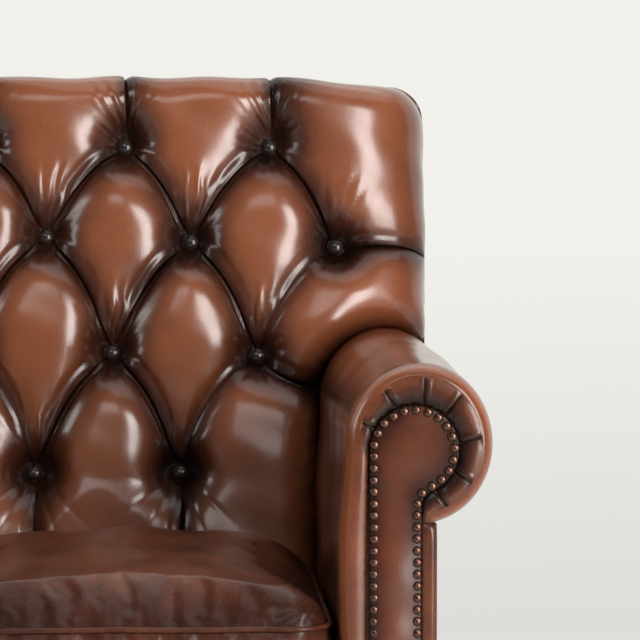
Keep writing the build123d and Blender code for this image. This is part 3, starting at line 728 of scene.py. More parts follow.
@dataclass
class TuftedBack:
    """Deep-buttoned inside back: leather panels between pleats that run from button to button."""

    half_width: float = 407.0
    height: float = 919.0
    crest: float = 172.0
    foot: float = 53.5
    roll: float = 44.0
    start: float = 175.0
    pitch: float = 193.0
    counts: tuple = (3, 4, 3, 2)
    rows: tuple = (0.897, 0.761, 0.595, 0.421)
    tilts: tuple = (0.0, -0.037, -0.024, 0.0)
    drifts: tuple = (0.018, -0.03, -0.075, -0.11)
    samples: int = 64
    crowding: float = 0.62
    pleat_bow: float = 0.095
    floor_drop: float = 46.0
    pleat_drop: float = 34.0
    swell: float = 25.0
    fullness: float = 1.2
    over_power: float = 0.72
    under_power: float = 1.25
    fade_share: float = 0.93
    fade_span: tuple = (0.12, 0.72)
    lap: float = 7.5
    lap_width: float = 5.0
    lip_gap: float = 2.4
    lip_half: float = 1.8
    lip_height: float = 0.05
    fold_gap: float = 15.0
    fold_half: float = 3.6
    fold_depth: float = 0.075
    line_gap: float = 9.5
    line_half: float = 1.7
    line_depth: float = 0.055
    most_proud: float = 4.5
    well: float = 12.0
    well_run: float = 15.0
    arm_gap: float = 0.7
    arm_round: float = 55.0
    side_start: float = 245.0
    side_curve: float = 0.0042
    shoulder_drop: float = 11.0
    wing_fall: float = 27.0
    low_wing_fall: float = 45.0
    fan_folds: int = 17
    fan_reach: float = 30.0
    fan_half: float = 15.0
    gathers: float = 31.0
    gather_height: float = 1.05
    foot_run: float = 0.8
    foot_creases: tuple = (-143.0, -119.0, -100.0, -70.0, -46.0)
    crease_half: float = 3.0
    crease_depth: float = 1.6
    join_gap: float = 0.05
    points: list = field(default_factory=list)
    tones: list = field(default_factory=list)
    faces: list = field(default_factory=list)

    def button_rows(self) -> list:
        """Place the buttons, row by row from the top, as the CAD model has them.

        Returns:
            One array of places (x, v) for each row.
        """
        made = []
        for count, share, tilt, drift in zip(self.counts, self.rows, self.tilts, self.drifts):
            x = (np.arange(count) - (count - 1) / 2 + drift) * self.pitch
            made.append(np.stack([x, share * self.height + tilt * x], axis=-1))
        return made

    @property
    def reach(self) -> float:
        """Length of leather from the edge of the flat front to the border behind."""
        return self.roll * QUARTER_TURN + self.crest - self.foot - self.roll

    def spread(self, flat: Array) -> tuple[Array, Array, Array, Array]:
        """Lay unrolled leather coordinates over the back.

        Inside the flat front they stay as they are. Outside it, the distance past the
        front's edge turns over a quarter circle and then runs straight back.

        Args:
            flat: array of unrolled points (x, v).

        Returns:
            x, v and depth w of the crest surface, and its outward normals along x, v and w.
        """
        inner_x, inner_v = self.half_width - self.roll, self.height - self.roll
        aside = np.sign(flat[:, 0]) * np.maximum(np.abs(flat[:, 0]) - inner_x, 0)
        past = np.stack([aside, np.maximum(flat[:, 1] - inner_v, 0)], -1)
        length = np.linalg.norm(past, axis=1)
        heading = past / np.maximum(length, 1e-9)[:, None]
        turn = np.minimum(length / self.roll, QUARTER_TURN)
        straight = np.maximum(length - self.roll * QUARTER_TURN, 0)
        base = flat - past
        x = base[:, 0] + heading[:, 0] * self.roll * np.sin(turn)
        v = base[:, 1] + heading[:, 1] * self.roll * np.sin(turn)
        w = self.crest - self.roll * (1 - np.cos(turn)) - straight
        sine = np.sin(turn)
        return x, v, w, np.stack([heading[:, 0] * sine, heading[:, 1] * sine, np.cos(turn)], -1)

    def pleat(self, upper: Array, lower: Array, bow: float) -> Array:
        """Line of a pleat between two places, bowed sideways.

        It is a parabola: the straight line plus bow times its length times 4t(1 - t) across,
        leaning towards the upper end, with samples drawn together at both ends.

        Args:
            upper: first place.
            lower: last place.
            bow: largest offset as a share of the length, to the right of the way down.

        Returns:
            Array of samples + 1 points.
        """
        t = self.shares()
        run = lower - upper
        across = np.array([run[1], -run[0]])
        bulge = 4 * t * (1 - t) * (1.25 - 0.5 * t)
        return upper + t[:, None] * run + bow * bulge[:, None] * across

    def shares(self) -> Array:
        """Sample shares from 0 to 1, closer together at both ends."""
        s = np.linspace(0, 1, self.samples + 1)
        return s - self.crowding * np.sin(FULL_TURN * s) / FULL_TURN

    def border(self, start: float, end: float) -> Array:
        """Line along the border between two lengths measured from the middle of its top.

        The unrolled border runs level, round a quarter circle at the corner, and down.

        Args:
            start: signed length of the first point (positive to the right).
            end: signed length of the last point.

        Returns:
            Array of samples + 1 points.
        """
        s = start + (end - start) * self.shares()
        inner_x, inner_v = self.half_width - self.roll, self.height - self.roll
        a = np.abs(s)
        arc = np.clip((a - inner_x) / self.reach, 0, QUARTER_TURN)
        down = np.maximum(a - inner_x - self.reach * QUARTER_TURN, 0)
        x = np.minimum(a, inner_x) + self.reach * np.sin(arc)
        v = inner_v + self.reach * np.cos(arc) - down
        return np.stack([np.sign(s) * x, v], axis=-1)

    def border_length_to(self, v: float) -> float:
        """Length along the border from the middle of the top down to a height v on its side."""
        return self.half_width - self.roll + self.reach * QUARTER_TURN + self.height - self.roll - v

    def arm_line(self, side: Side) -> Array:
        """Unrolled line where the back meets the arm, from the border behind down to the seat.

        Args:
            side: which side.

        Returns:
            Array of points, denser where the line bends.
        """
        inner_x = self.half_width - self.roll
        wall_x = np.linspace(inner_x + self.reach, inner_x + self.roll * QUARTER_TURN, 30)
        bend = np.linspace(QUARTER_TURN, 0, 30)[1:]
        flat = np.array([inner_x])
        unrolled = np.concatenate([wall_x, inner_x + self.roll * bend, flat])
        x, _, w, _ = self.spread(np.stack([unrolled, np.zeros_like(unrolled)], -1))
        angle = np.arccos(np.clip((x - ARM.roll_x) / (ARM.half_width + self.arm_gap), -1, 1))
        z = ARM.outline(angle, self.arm_gap)[:, 1]
        first = np.stack([unrolled, PLANE.height_of(z, w)], -1)
        angle = np.linspace(angle[-1], HALF_TURN, 80)[1:]
        ring = ARM.outline(angle, self.arm_gap)
        second = np.stack([ring[:, 0], PLANE.height_of(ring[:, 1], self.crest)], -1)
        x_in = ARM.inner_x - self.arm_gap
        down = np.linspace(second[-1, 1], self.start, 60)[1:]
        third = np.stack([np.full_like(down, x_in), down], -1)
        line = np.concatenate([first, second, third])
        return line * np.array([side.value, 1])

    def cut(self, line: Array, start: float, end: float) -> Array:
        """Part of a bent line between two shares of its length, resampled like a pleat."""
        share = start + (end - start) * self.shares()
        return points_at(line, share * lengths_along(line)[-1])

    def share_at(self, line: Array, v: float) -> float:
        """Share of a bent line's length where it first falls below the height v."""
        length = lengths_along(line)
        return length[np.argmax(line[:, 1] < v)] / length[-1]

    def panel(self, left: list, right: list, top: list, bottom: list) -> None:
        """Fill four sides with a surface and raise it between its pleats.

        The flat place of each point blends opposite sides (a Coons patch).

        Args:
            left: seams of the left side, from the top.
            right: seams of the right side, from the top.
            top: seams of the top side, from the left; empty where left and right meet.
            bottom: seams of the bottom side, from the left; empty where they meet.
        """
        west, east, north, south = (
            np.concatenate([seam.line[:-1] for seam in seams] + [seams[-1].line[-1:]]) if seams else None
            for seams in (left, right, top, bottom)
        )
        across = len(north) if north is not None else len(south)
        if north is None:
            north = np.repeat(west[:1], across, axis=0)
        if south is None:
            south = np.repeat(west[-1:], across, axis=0)
        parts_v, parts_u = max(len(left), 1), max(len(top or bottom), 1)
        t = self.shares()
        v = np.concatenate([(k + t[:-1]) / parts_v for k in range(parts_v)] + [[1.0]])[:, None, None]
        u = np.concatenate([(k + t[:-1]) / parts_u for k in range(parts_u)] + [[1.0]])[None, :, None]
        flat = (1 - u) * west[:, None] + u * east[:, None] + (1 - v) * north[None] + v * south[None]
        upper = (1 - u) * (1 - v) * west[0] + u * (1 - v) * east[0]
        flat = flat - (upper + (1 - u) * v * west[-1] + u * v * east[-1])
        self.relief(flat.reshape(-1, 2), left + right + top + bottom, flat.shape[:2])

    def relief(self, flat: Array, seams: list, shape: tuple) -> None:
        """Raise a flat panel between its pleats.

        The rise is the product over the pleats of 1 - depth * exp(-(d / swell)^p), d being the
        distance to the pleat. A fold that lies over its neighbour has a lip and a crease
        beside it and is pulled across the pleat; a side that runs under has a faint line.

        Args:
            flat: unrolled points.
            seams: seams of the panel.
            shape: rows and columns of the panel.
        """
        rise = np.ones(len(flat))
        shift = np.zeros_like(flat)
        near = shade = np.full(len(flat), 1e3)
        for seam in seams:
            if seam.edge is Edge.FREE:
                continue
            over = seam.edge is Edge.OVER
            gap, along = distance_to_line(flat, seam.line)
            depth = np.ones(len(flat))
            if seam.fade:
                past = np.abs(along - seam.bound) / seam.run
                depth = 1 - self.fade_share * smoothstep(past, *self.fade_span)
            power = self.over_power if over else self.under_power
            swell = self.swell * (0.3 + 0.7 * depth)
            rise = rise * (1 - depth * np.exp(-((gap / swell) ** power)))
            near = np.minimum(near, gap / np.maximum(depth, 0.2))
            reach = (0.8 if over else 1.25) * (0.5 + 0.5 * depth)
            shade = np.minimum(shade, gap / np.maximum(reach, seam.dark))
            if over:
                ends = np.sin(HALF_TURN * np.clip(along, 0, 1))
                fold = bell(gap - self.fold_gap * (1.1 - 0.5 * along), self.fold_half)
                lip = bell(gap - self.lip_gap, self.lip_half)
                crease = self.fold_depth * fold * (1.2 - along)
                rise = rise + depth * ends * (self.lip_height * lip - crease)
                pull = self.lap * gap / self.lap_width * np.exp(1 - gap / self.lap_width)
                pull = pull * (depth if seam.fade else np.sqrt(ends))
                shift = shift + pull[:, None] * self.across(seam.line, flat.mean(0))
            elif not seam.fade:
                strength = 0.4 + 0.6 * abs(math.sin(seam.line[0].sum()))
                line = bell(gap - self.line_gap, self.line_half) * np.sin(HALF_TURN * along) ** 2
                rise = rise - self.line_depth * strength * line
        self.add_surface(flat, shift, rise, near, shade, shape)

    def across(self, line: Array, centre: Array) -> Array:
        """Unit direction across a pleat, away from a panel's centre.

        Args:
            line: points of the pleat.
            centre: centre of the panel.

        Returns:
            The direction (x, v).
        """
        run = line[-1] - line[0]
        normal = np.array([-run[1], run[0]]) / np.linalg.norm(run)
        inward = (normal * (centre - line.mean(0))).sum() > 0
        return -normal if inward else normal

    def add_surface(
        self, flat: Array, shift: Array, rise: Array, near: Array, shade: Array, shape: tuple
    ) -> None:
        """Turn a panel's flat points and rises into places of the chair and store its faces.

        Round each button the leather sinks by a well factor. Over the border it lies plain,
        and beside an arm it is tucked back with small puckers.

        Args:
            flat: unrolled points.
            shift: how far a fold pulls each point across its pleat.
            rise: share of the full rise.
            near: distance to the nearest pleat.
            shade: distance to the nearest pleat, shorter where its dark zone is wide.
            shape: rows and columns of the panel.
        """
        buttons = np.concatenate(self.button_rows())
        gap = np.linalg.norm(flat[:, None] - buttons[None], axis=2)
        closest = gap.min(1)
        well = 1 - np.exp(-((np.maximum(closest - self.well, 0) / self.well_run) ** 1.3))
        high = self.floor_drop - self.pleat_drop
        level = well * (high + self.pleat_drop * rise * self.fullness)
        front = self.spread(flat)[3][:, 2]
        proud = self.most_proud * smoothstep(front, 0.2, 1.0) * (level > self.floor_drop)
        level = np.minimum(level, self.floor_drop + proud)
        drop = self.floor_drop - level - self.wrinkles(flat, buttons, gap, near)
        x, v, w, normal = self.spread(flat + shift * smoothstep(near, 0, 1.0)[:, None])
        edge = smoothstep(w, self.foot, self.crest - self.roll)
        drop = drop * edge
        x, v, w = np.stack([x, v, w]) - normal.T * drop
        shoulder = smoothstep(np.abs(x), 130, 400) ** 1.5 * smoothstep(v, 640, 900)
        v = v - self.shoulder_drop * edge * shoulder
        w = w - edge * self.side_curve / 2 * np.maximum(np.abs(x) - self.side_start, 0) ** 2
        place = PLANE.place(x, v, np.maximum(w, self.foot))
        place[:, 1] += self.arm_tuck(place)
        place[:, 1] = np.minimum(place[:, 1], PLANE.y_of(place[:, 2], self.foot))
        gap_arm = self.arm_distance(place)
        around = np.arctan2(place[:, 2] - ARM.roll_z, np.abs(place[:, 0]) - ARM.roll_x)
        pucker = np.cos(26 * around + 2 * np.sin(5 * around)) * np.exp(-np.maximum(gap_arm, 0) / 16)
        place[:, 1] += 1.5 * pucker * smoothstep(gap_arm, 1, 8) * (w > self.crest - self.roll)
        # Darkest along the pleats and round the buttons: partly dark wax, partly painted shade in the
        # folds.
        tone = (1 - np.exp(-((shade / 22) ** 1.4))) * smoothstep(closest, 6, 70)
        # Painted shade in the gap beside the arm.
        tone = tone * (0.5 + 0.5 * smoothstep(gap_arm, -5, 45))
        # Darker towards the sides of the back.
        tone = tone * (1 - 0.35 * smoothstep(np.abs(x), 345, 400))
        # A little darker towards the seat.
        tone = tone * (0.88 + 0.12 * smoothstep(flat[:, 1], 300, 480))
        self.faces += grid_faces(*shape, start=sum(len(p) for p in self.points))
        self.points.append(place)
        self.tones.append(tone)

    def wrinkles(self, flat: Array, buttons: Array, gap: Array, near: Array) -> Array:
        """Small height of the gathers above and below each button and of the loose leather.

        Round a button the height follows the cosine of the angle times a number of folds,
        strongest a little way out and above the button. Below the lowest row, thin creases
        fan out along given headings instead. Everywhere it has a slow unevenness.

        Args:
            flat: unrolled points.
            buttons: places of the buttons.
            gap: distance of each point to each button.
            near: distance to the nearest pleat.

        Returns:
            Height of each point, in millimetres.
        """
        total = 1.3 * unevenness(flat[:, 0], flat[:, 1], 90, 3)
        for index, (place, reach) in enumerate(zip(buttons, gap.T)):
            lowest = index >= len(buttons) - self.counts[-1]
            angle = np.arctan2(flat[:, 1] - place[1], flat[:, 0] - place[0])
            folds = self.fan_folds + index % 3
            sway = 1.4 * np.sin(3 * angle + index)
            up = smoothstep(np.sin(angle), 0.25, 0.8)
            fan = np.cos(folds * angle + sway) * bell(reach - self.fan_reach, self.fan_half)
            least = 0.0 if lowest else 0.45
            total = total + fan * (least + 0.5 * up) * smoothstep(near, 2, 8)
            narrow = np.exp(-(((angle - QUARTER_TURN) / 0.6) ** 4))
            length = smoothstep(reach, 14, 34) * (1 - smoothstep(reach, 60, 118))
            weave = unevenness(angle * 40, reach / 6, 9, 50 + index)
            gather = np.cos(self.gathers * angle + 0.8 * weave + index) * (1 + 0.5 * weave)
            gather = self.gather_height * gather * narrow * length
            total = total + gather * smoothstep(near, 2, 9)
            if not lowest:
                continue
            length = smoothstep(reach, 14, 48) * (1 - smoothstep(reach, 55, 120))
            for heading in np.radians(self.foot_creases):
                aside = (angle - heading) * reach
                total = total - self.crease_depth * bell(aside, self.crease_half) * length
        return total * smoothstep(near, 1, 12)

    def arm_distance(self, place: Array) -> Array:
        """Distance of points outside the outline of the nearer arm, seen from the front.

        Args:
            place: places of the points.

        Returns:
            The distances, below 0 inside the outline.
        """
        x, z = np.abs(place[:, 0]) - ARM.roll_x, place[:, 2] - ARM.roll_z
        scaled = np.hypot(x / ARM.half_width, z / ARM.half_height)
        angle = np.arctan2(z / ARM.half_height, x / ARM.half_width)
        size = np.hypot(ARM.half_width * np.cos(angle), ARM.half_height * np.sin(angle))
        return np.where(z > 0, (scaled - 1) * size, -(x + ARM.half_width))

    def arm_tuck(self, place: Array) -> Array:
        """How far back the leather is tucked beside an arm: a quarter circle of the rounding."""
        near = np.clip(self.arm_distance(place) / self.arm_round, 0, 1)
        return self.arm_round * (1 - np.sqrt(np.clip(1 - (1 - near) ** 2, 0, 1)))

    def build(self) -> Object:
        """Make all the panels, close the back of the pad and weld it.

        Returns:
            The new object.
        """
        rows = self.button_rows()
        over, under = Edge.OVER, Edge.UNDER
        lines = self.slanting_pleats(rows)
        border_v = self.height - self.roll + self.reach
        tops = [self.pleat(np.array([x, border_v]), np.array([x, v]), 0.0) for x, v in rows[0]]
        feet = [self.pleat(place, np.array([place[0], self.start]), 0.0) for place in rows[-1]]
        # Diamonds between four buttons
        for i in range(3):
            self.diamond(lines[0, i, i], lines[0, i, i + 1], lines[1, i, i], lines[1, i + 1, i])
        for i in range(2):
            upper = lines[1, i + 1, i], lines[1, i + 1, i + 1]
            self.diamond(*upper, lines[2, i, i], lines[2, i + 1, i])
        # Panels between the vertical pleats, over the top of the back
        for i in range(2):
            self.panel(
                [Seam(tops[i], under, True, 1.0, 1.6), Seam(lines[0, i, i + 1], over)],
                [Seam(tops[i + 1], over, True, 1.0), Seam(lines[0, i + 1, i + 1], over)],
                [Seam(self.border(rows[0][i][0], rows[0][i + 1][0]))],
                [],
            )
        # Panel above the seat between the lower buttons
        self.panel(
            [Seam(lines[2, 1, 0], under), Seam(feet[0], under, True, run=self.foot_run)],
            [Seam(lines[2, 1, 1], under), Seam(feet[1], over, True, run=self.foot_run)],
            [],
            [Seam(self.straight(feet[0][-1], feet[1][-1]))],
        )
        for side in Side:
            self.side_panels(side, rows, lines, tops, feet)
        piece = add_mesh("tufted_back", np.concatenate(self.points), self.faces)
        set_tone(piece, np.concatenate(self.tones))
        self.close(piece)
        return piece

    def dress(self, finishes: Finishes) -> None:
        """Build the back and dress it."""
        finishes.declare(self.build(), "whisky_leather", ["inside_back_pad"])

    def slanting_pleats(self, rows: list) -> dict:
        """Pleats from each button to its neighbours in the next row.

        Args:
            rows: places of the buttons, row by row.

        Returns:
            Lines by upper row, place in the upper row and place in the lower row.
        """
        lines = {}
        for row, (upper, lower) in enumerate(zip(rows, rows[1:])):
            for i, first in enumerate(upper):
                for k, last in enumerate(lower):
                    if abs(first[0] - last[0]) < 0.75 * self.pitch:
                        outward = self.pleat_bow if last[0] < first[0] else -self.pleat_bow
                        lines[row, i, k] = self.pleat(first, last, outward)
        return lines

    def straight(self, first: Array, last: Array) -> Array:
        """Straight line between two places, sampled like a pleat."""
        return first + self.shares()[:, None] * (last - first)

    def diamond(self, nw: Array, ne: Array, sw: Array, se: Array) -> None:
        """One diamond: its upper sides run under their neighbours, its lower sides lie over."""
        under, over = Edge.UNDER, Edge.OVER
        self.panel([Seam(nw, under)], [Seam(se, over)], [Seam(ne, under)], [Seam(sw, over)])

    def side_panels(self, side: Side, rows: list, lines: dict, tops: list, feet: list) -> None:
        """The corner, middle and lower panels of one side of the back.

        Args:
            side: which side.
            rows: places of the buttons, row by row.
            lines: pleats from button to button.
            tops: pleats over the top edge.
            feet: pleats down to the seat.
        """
        last = -1 if side is Side.RIGHT else 0
        sign = side.value
        top_button, edge_button, arm_button = (row[last] for row in rows[:3])
        arm = self.arm_line(side)
        inner_x = self.half_width - self.roll
        wing_v = edge_button[1] - self.wing_fall
        wing_end = np.array([sign * (inner_x + self.reach), wing_v])
        wing = self.pleat(edge_button, wing_end, -sign * 0.06)
        arm_share = self.share_at(arm, arm_button[1] - self.low_wing_fall)
        low_line = self.cut(arm, arm_share, 1.0)
        mid_line = self.cut(arm, 0.0, arm_share)
        low_wing = self.pleat(arm_button, low_line[0], sign * 0.05)
        ends = [len(row) - 1 if side is Side.RIGHT else 0 for row in rows]
        corner_diag, side_diag, low_diag = (lines[k, ends[k], ends[k + 1]] for k in range(3))
        border = self.border(top_button[0], sign * self.border_length_to(wing_v))
        over, under = Edge.OVER, Edge.UNDER
        # Corner: diagonal on one side, the border on the other
        self.panel(
            [Seam(corner_diag, over)],
            [Seam(border)],
            [Seam(tops[last][::-1], under if side is Side.RIGHT else over, True, 0.0, 2.4)],
            [Seam(wing, over, True)],
        )
        # Middle: from the second row's pleat down to the arm
        wall = self.cut(np.array([wing_end, arm[0]]), 0, 1)
        self.panel(
            [Seam(side_diag, over)],
            [Seam(self.join(wall, mid_line))],
            [Seam(wing, under, True)],
            [Seam(low_wing, over)],
        )
        # Low: from the third row's pleat down to the seat
        foot = self.straight(feet[last][-1], low_line[-1])
        foot_edge = over if side is Side.LEFT else under
        self.panel(
            [Seam(low_diag, over), Seam(feet[last], foot_edge, True, run=self.foot_run)],
            [Seam(self.cut(low_line, 0, 0.5)), Seam(self.cut(low_line, 0.5, 1))],
            [Seam(low_wing, under)],
            [Seam(foot)],
        )

    def join(self, first: Array, second: Array) -> Array:
        """Two lines end to end as one line of the usual samples."""
        return self.cut(np.concatenate([first[:-1], second]), 0, 1)

    def close(self, piece: Object) -> None:
        """Weld the panels, carry the open rim back square to the plane and cap the pad behind.

        Args:
            piece: the panels.
        """
        weld(piece, self.join_gap)
        work = bmesh.new()
        work.from_mesh(piece.data)
        rim = [edge for edge in work.edges if edge.is_boundary]
        made = bmesh.ops.extrude_edge_only(work, edges=rim)
        for item in made["geom"]:
            if isinstance(item, bmesh.types.BMVert):
                behind = float(PLANE.y_of(np.array(item.co.z / MM), self.foot)) * MM - item.co.y
                item.co.y += behind * math.cos(PLANE.lean) ** 2
                item.co.z -= behind * math.cos(PLANE.lean) * math.sin(PLANE.lean)
        rim = [edge for edge in work.edges if edge.is_boundary]
        bmesh.ops.holes_fill(work, edges=rim, sides=0)
        bmesh.ops.remove_doubles(work, verts=work.verts, dist=self.join_gap * MM)
        bmesh.ops.recalc_face_normals(work, faces=work.faces)
        for face in work.faces:
            face.smooth = len(face.verts) < 5
        work.to_mesh(piece.data)
        work.free()


@dataclass(frozen=True)
class Dome:
    """Round head with a domed top: a covered button or an upholstery nail."""

    radius: float
    height: float
    lip: float
    rings: int = 6
    around: int = 16

    def shape(self) -> tuple[Array, list]:
        """Dome on the plane of its foot, rising along its third axis.

        The radius falls as the cosine and the height rises as the sine of an angle; a short
        collar goes down to the foot and the underside is one flat face.

        Returns:
            Corners as (across, up, out), and faces.
        """
        turn = np.linspace(0, FULL_TURN, self.around, endpoint=False)
        rise = np.linspace(0, QUARTER_TURN, self.rings + 1)[:-1]
        radii = np.concatenate([[self.radius * 0.97], self.radius * np.cos(rise)])
        outs = np.concatenate([[0.0], self.lip + (self.height - self.lip) * np.sin(rise)])
        ring = np.stack([np.cos(turn), np.sin(turn)], -1)
        rows = [np.insert(ring * radius, 2, out, axis=1) for radius, out in zip(radii, outs)]
        top = np.array([[0.0, 0.0, self.height]])
        points = np.concatenate(rows + [top])
        faces = grid_faces(len(rows), self.around, wrap=True)
        first = (len(rows) - 1) * self.around
        spokes = np.arange(self.around)
        peak = np.full(self.around, len(points) - 1)
        faces += np.stack([first + spokes, first + (spokes + 1) % self.around, peak], -1).tolist()
        faces.append(list(range(self.around))[::-1])
        return points, faces

    def scatter(self, name: str, places: Array, axes: Array) -> Object:
        """One mesh of many domes.

        Args:
            name: name of the object.
            places: foot place of each dome.
            axes: for each dome its across, up and out directions.

        Returns:
            The new object.
        """
        shape, faces = self.shape()
        points = places[:, None] + np.einsum("kj,njc->nkc", shape, axes)
        starts = np.arange(len(places)) * len(shape)
        all_faces = [[corner + start for corner in face] for start in starts.tolist() for face in faces]
        piece = add_mesh(name, points.reshape(-1, 3), all_faces)
        # Painted light and shade: the stored tone is lighter towards each dome's top and darker at its
        # foot; the button and nail finishes don't read it.
        set_tone(piece, np.tile(np.clip(shape[:, 2] / self.height, 0, 1) * 0.8, len(places)))
        weld(piece)
        return piece


def turned_axes(out: Array, count: int, tilt: float, seed: int) -> Array:
    """Directions of scattered domes that all face one way, each tipped a little by hand.

    Args:
        out: unit direction that the domes face.
        count: number of domes.
        tilt: largest tip, in radians.
        seed: seed of the tips.

    Returns:
        Array of count triples of unit directions: across, up and out.
    """
    rng = np.random.default_rng(seed)
    faced = out + rng.uniform(-tilt, tilt, (count, 3))
    faced = faced / np.linalg.norm(faced, axis=1)[:, None]
    across = np.cross(np.array([0.0, 0.0, 1.0]), faced)
    across = across / np.linalg.norm(across, axis=1)[:, None]
    return np.stack([across, np.cross(faced, across), faced], axis=1)


@dataclass
class BackButtons:
    """Leather-covered buttons, sunk where the pleats cross."""

    depth: float = 126.0
    radius: float = 11.2
    height: float = 10.5
    lip: float = 2.2
    tilt: float = 0.05

    def build(self, back: TuftedBack) -> Object:
        """Set a dome in each well of the back.

        Args:
            back: the tufted back.

        Returns:
            The new object.
        """
        flat = np.concatenate(back.button_rows())
        places = PLANE.place(flat[:, 0], flat[:, 1], np.full(len(flat), self.depth))
        out = np.array([0.0, -math.cos(PLANE.lean), math.sin(PLANE.lean)])
        dome = Dome(self.radius, self.height, self.lip, rings=8, around=28)
        axes = turned_axes(out, len(flat), self.tilt, seed=4)
        return dome.scatter("covered_buttons", places, axes)

    def dress(self, finishes: Finishes, back: TuftedBack) -> None:
        """Build the buttons and dress them."""
        finishes.declare(self.build(back), "button_leather", ["back_buttons"])


@dataclass
class NailRow:
    """Domed nails driven side by side round one facing."""

    side: Side
    front_y: float = -420.6
    pitch: float = 13.9
    foot_gap: float = 14.0
    radius: float = 5.8
    height: float = 4.6
    lip: float = 0.6
    tilt: float = 0.06
    stray: float = 0.25

    def build(self) -> Object:
        """Space the nails evenly along the nail line, up the inside, round and down again.

        Returns:
            The new object.
        """
        start = ARM.foot_z + self.foot_gap
        angle = np.linspace(HALF_TURN, ARM.join_angle, 400)
        bend = ARM.nail_curve(angle)
        line = np.concatenate([[[ARM.nail_x, start]], bend, [[ARM.neck_x, start]]])
        length = lengths_along(line)[-1]
        x, z = points_at(line, np.linspace(0, length, round(length / self.pitch) + 1)).T
        jitter = np.random.default_rng(7).uniform(-self.stray, self.stray, (2, len(x)))
        places = np.stack([x + jitter[0], np.full_like(x, self.front_y), z + jitter[1]], -1)
        dome = Dome(self.radius, self.height, self.lip, rings=4, around=12)
        axes = turned_axes(FRONT, len(x), self.tilt, seed=9)
        name = f"{self.side.word}_nail_heads"
        return dome.scatter(name, mirror_side(places, self.side), axes)

    def dress(self, finishes: Finishes) -> None:
        """Build the nails and dress them."""
        nodes = [f"{self.side.word}_facing_nails"]
        finishes.declare(self.build(), "nail_bronze", nodes)


# Arms


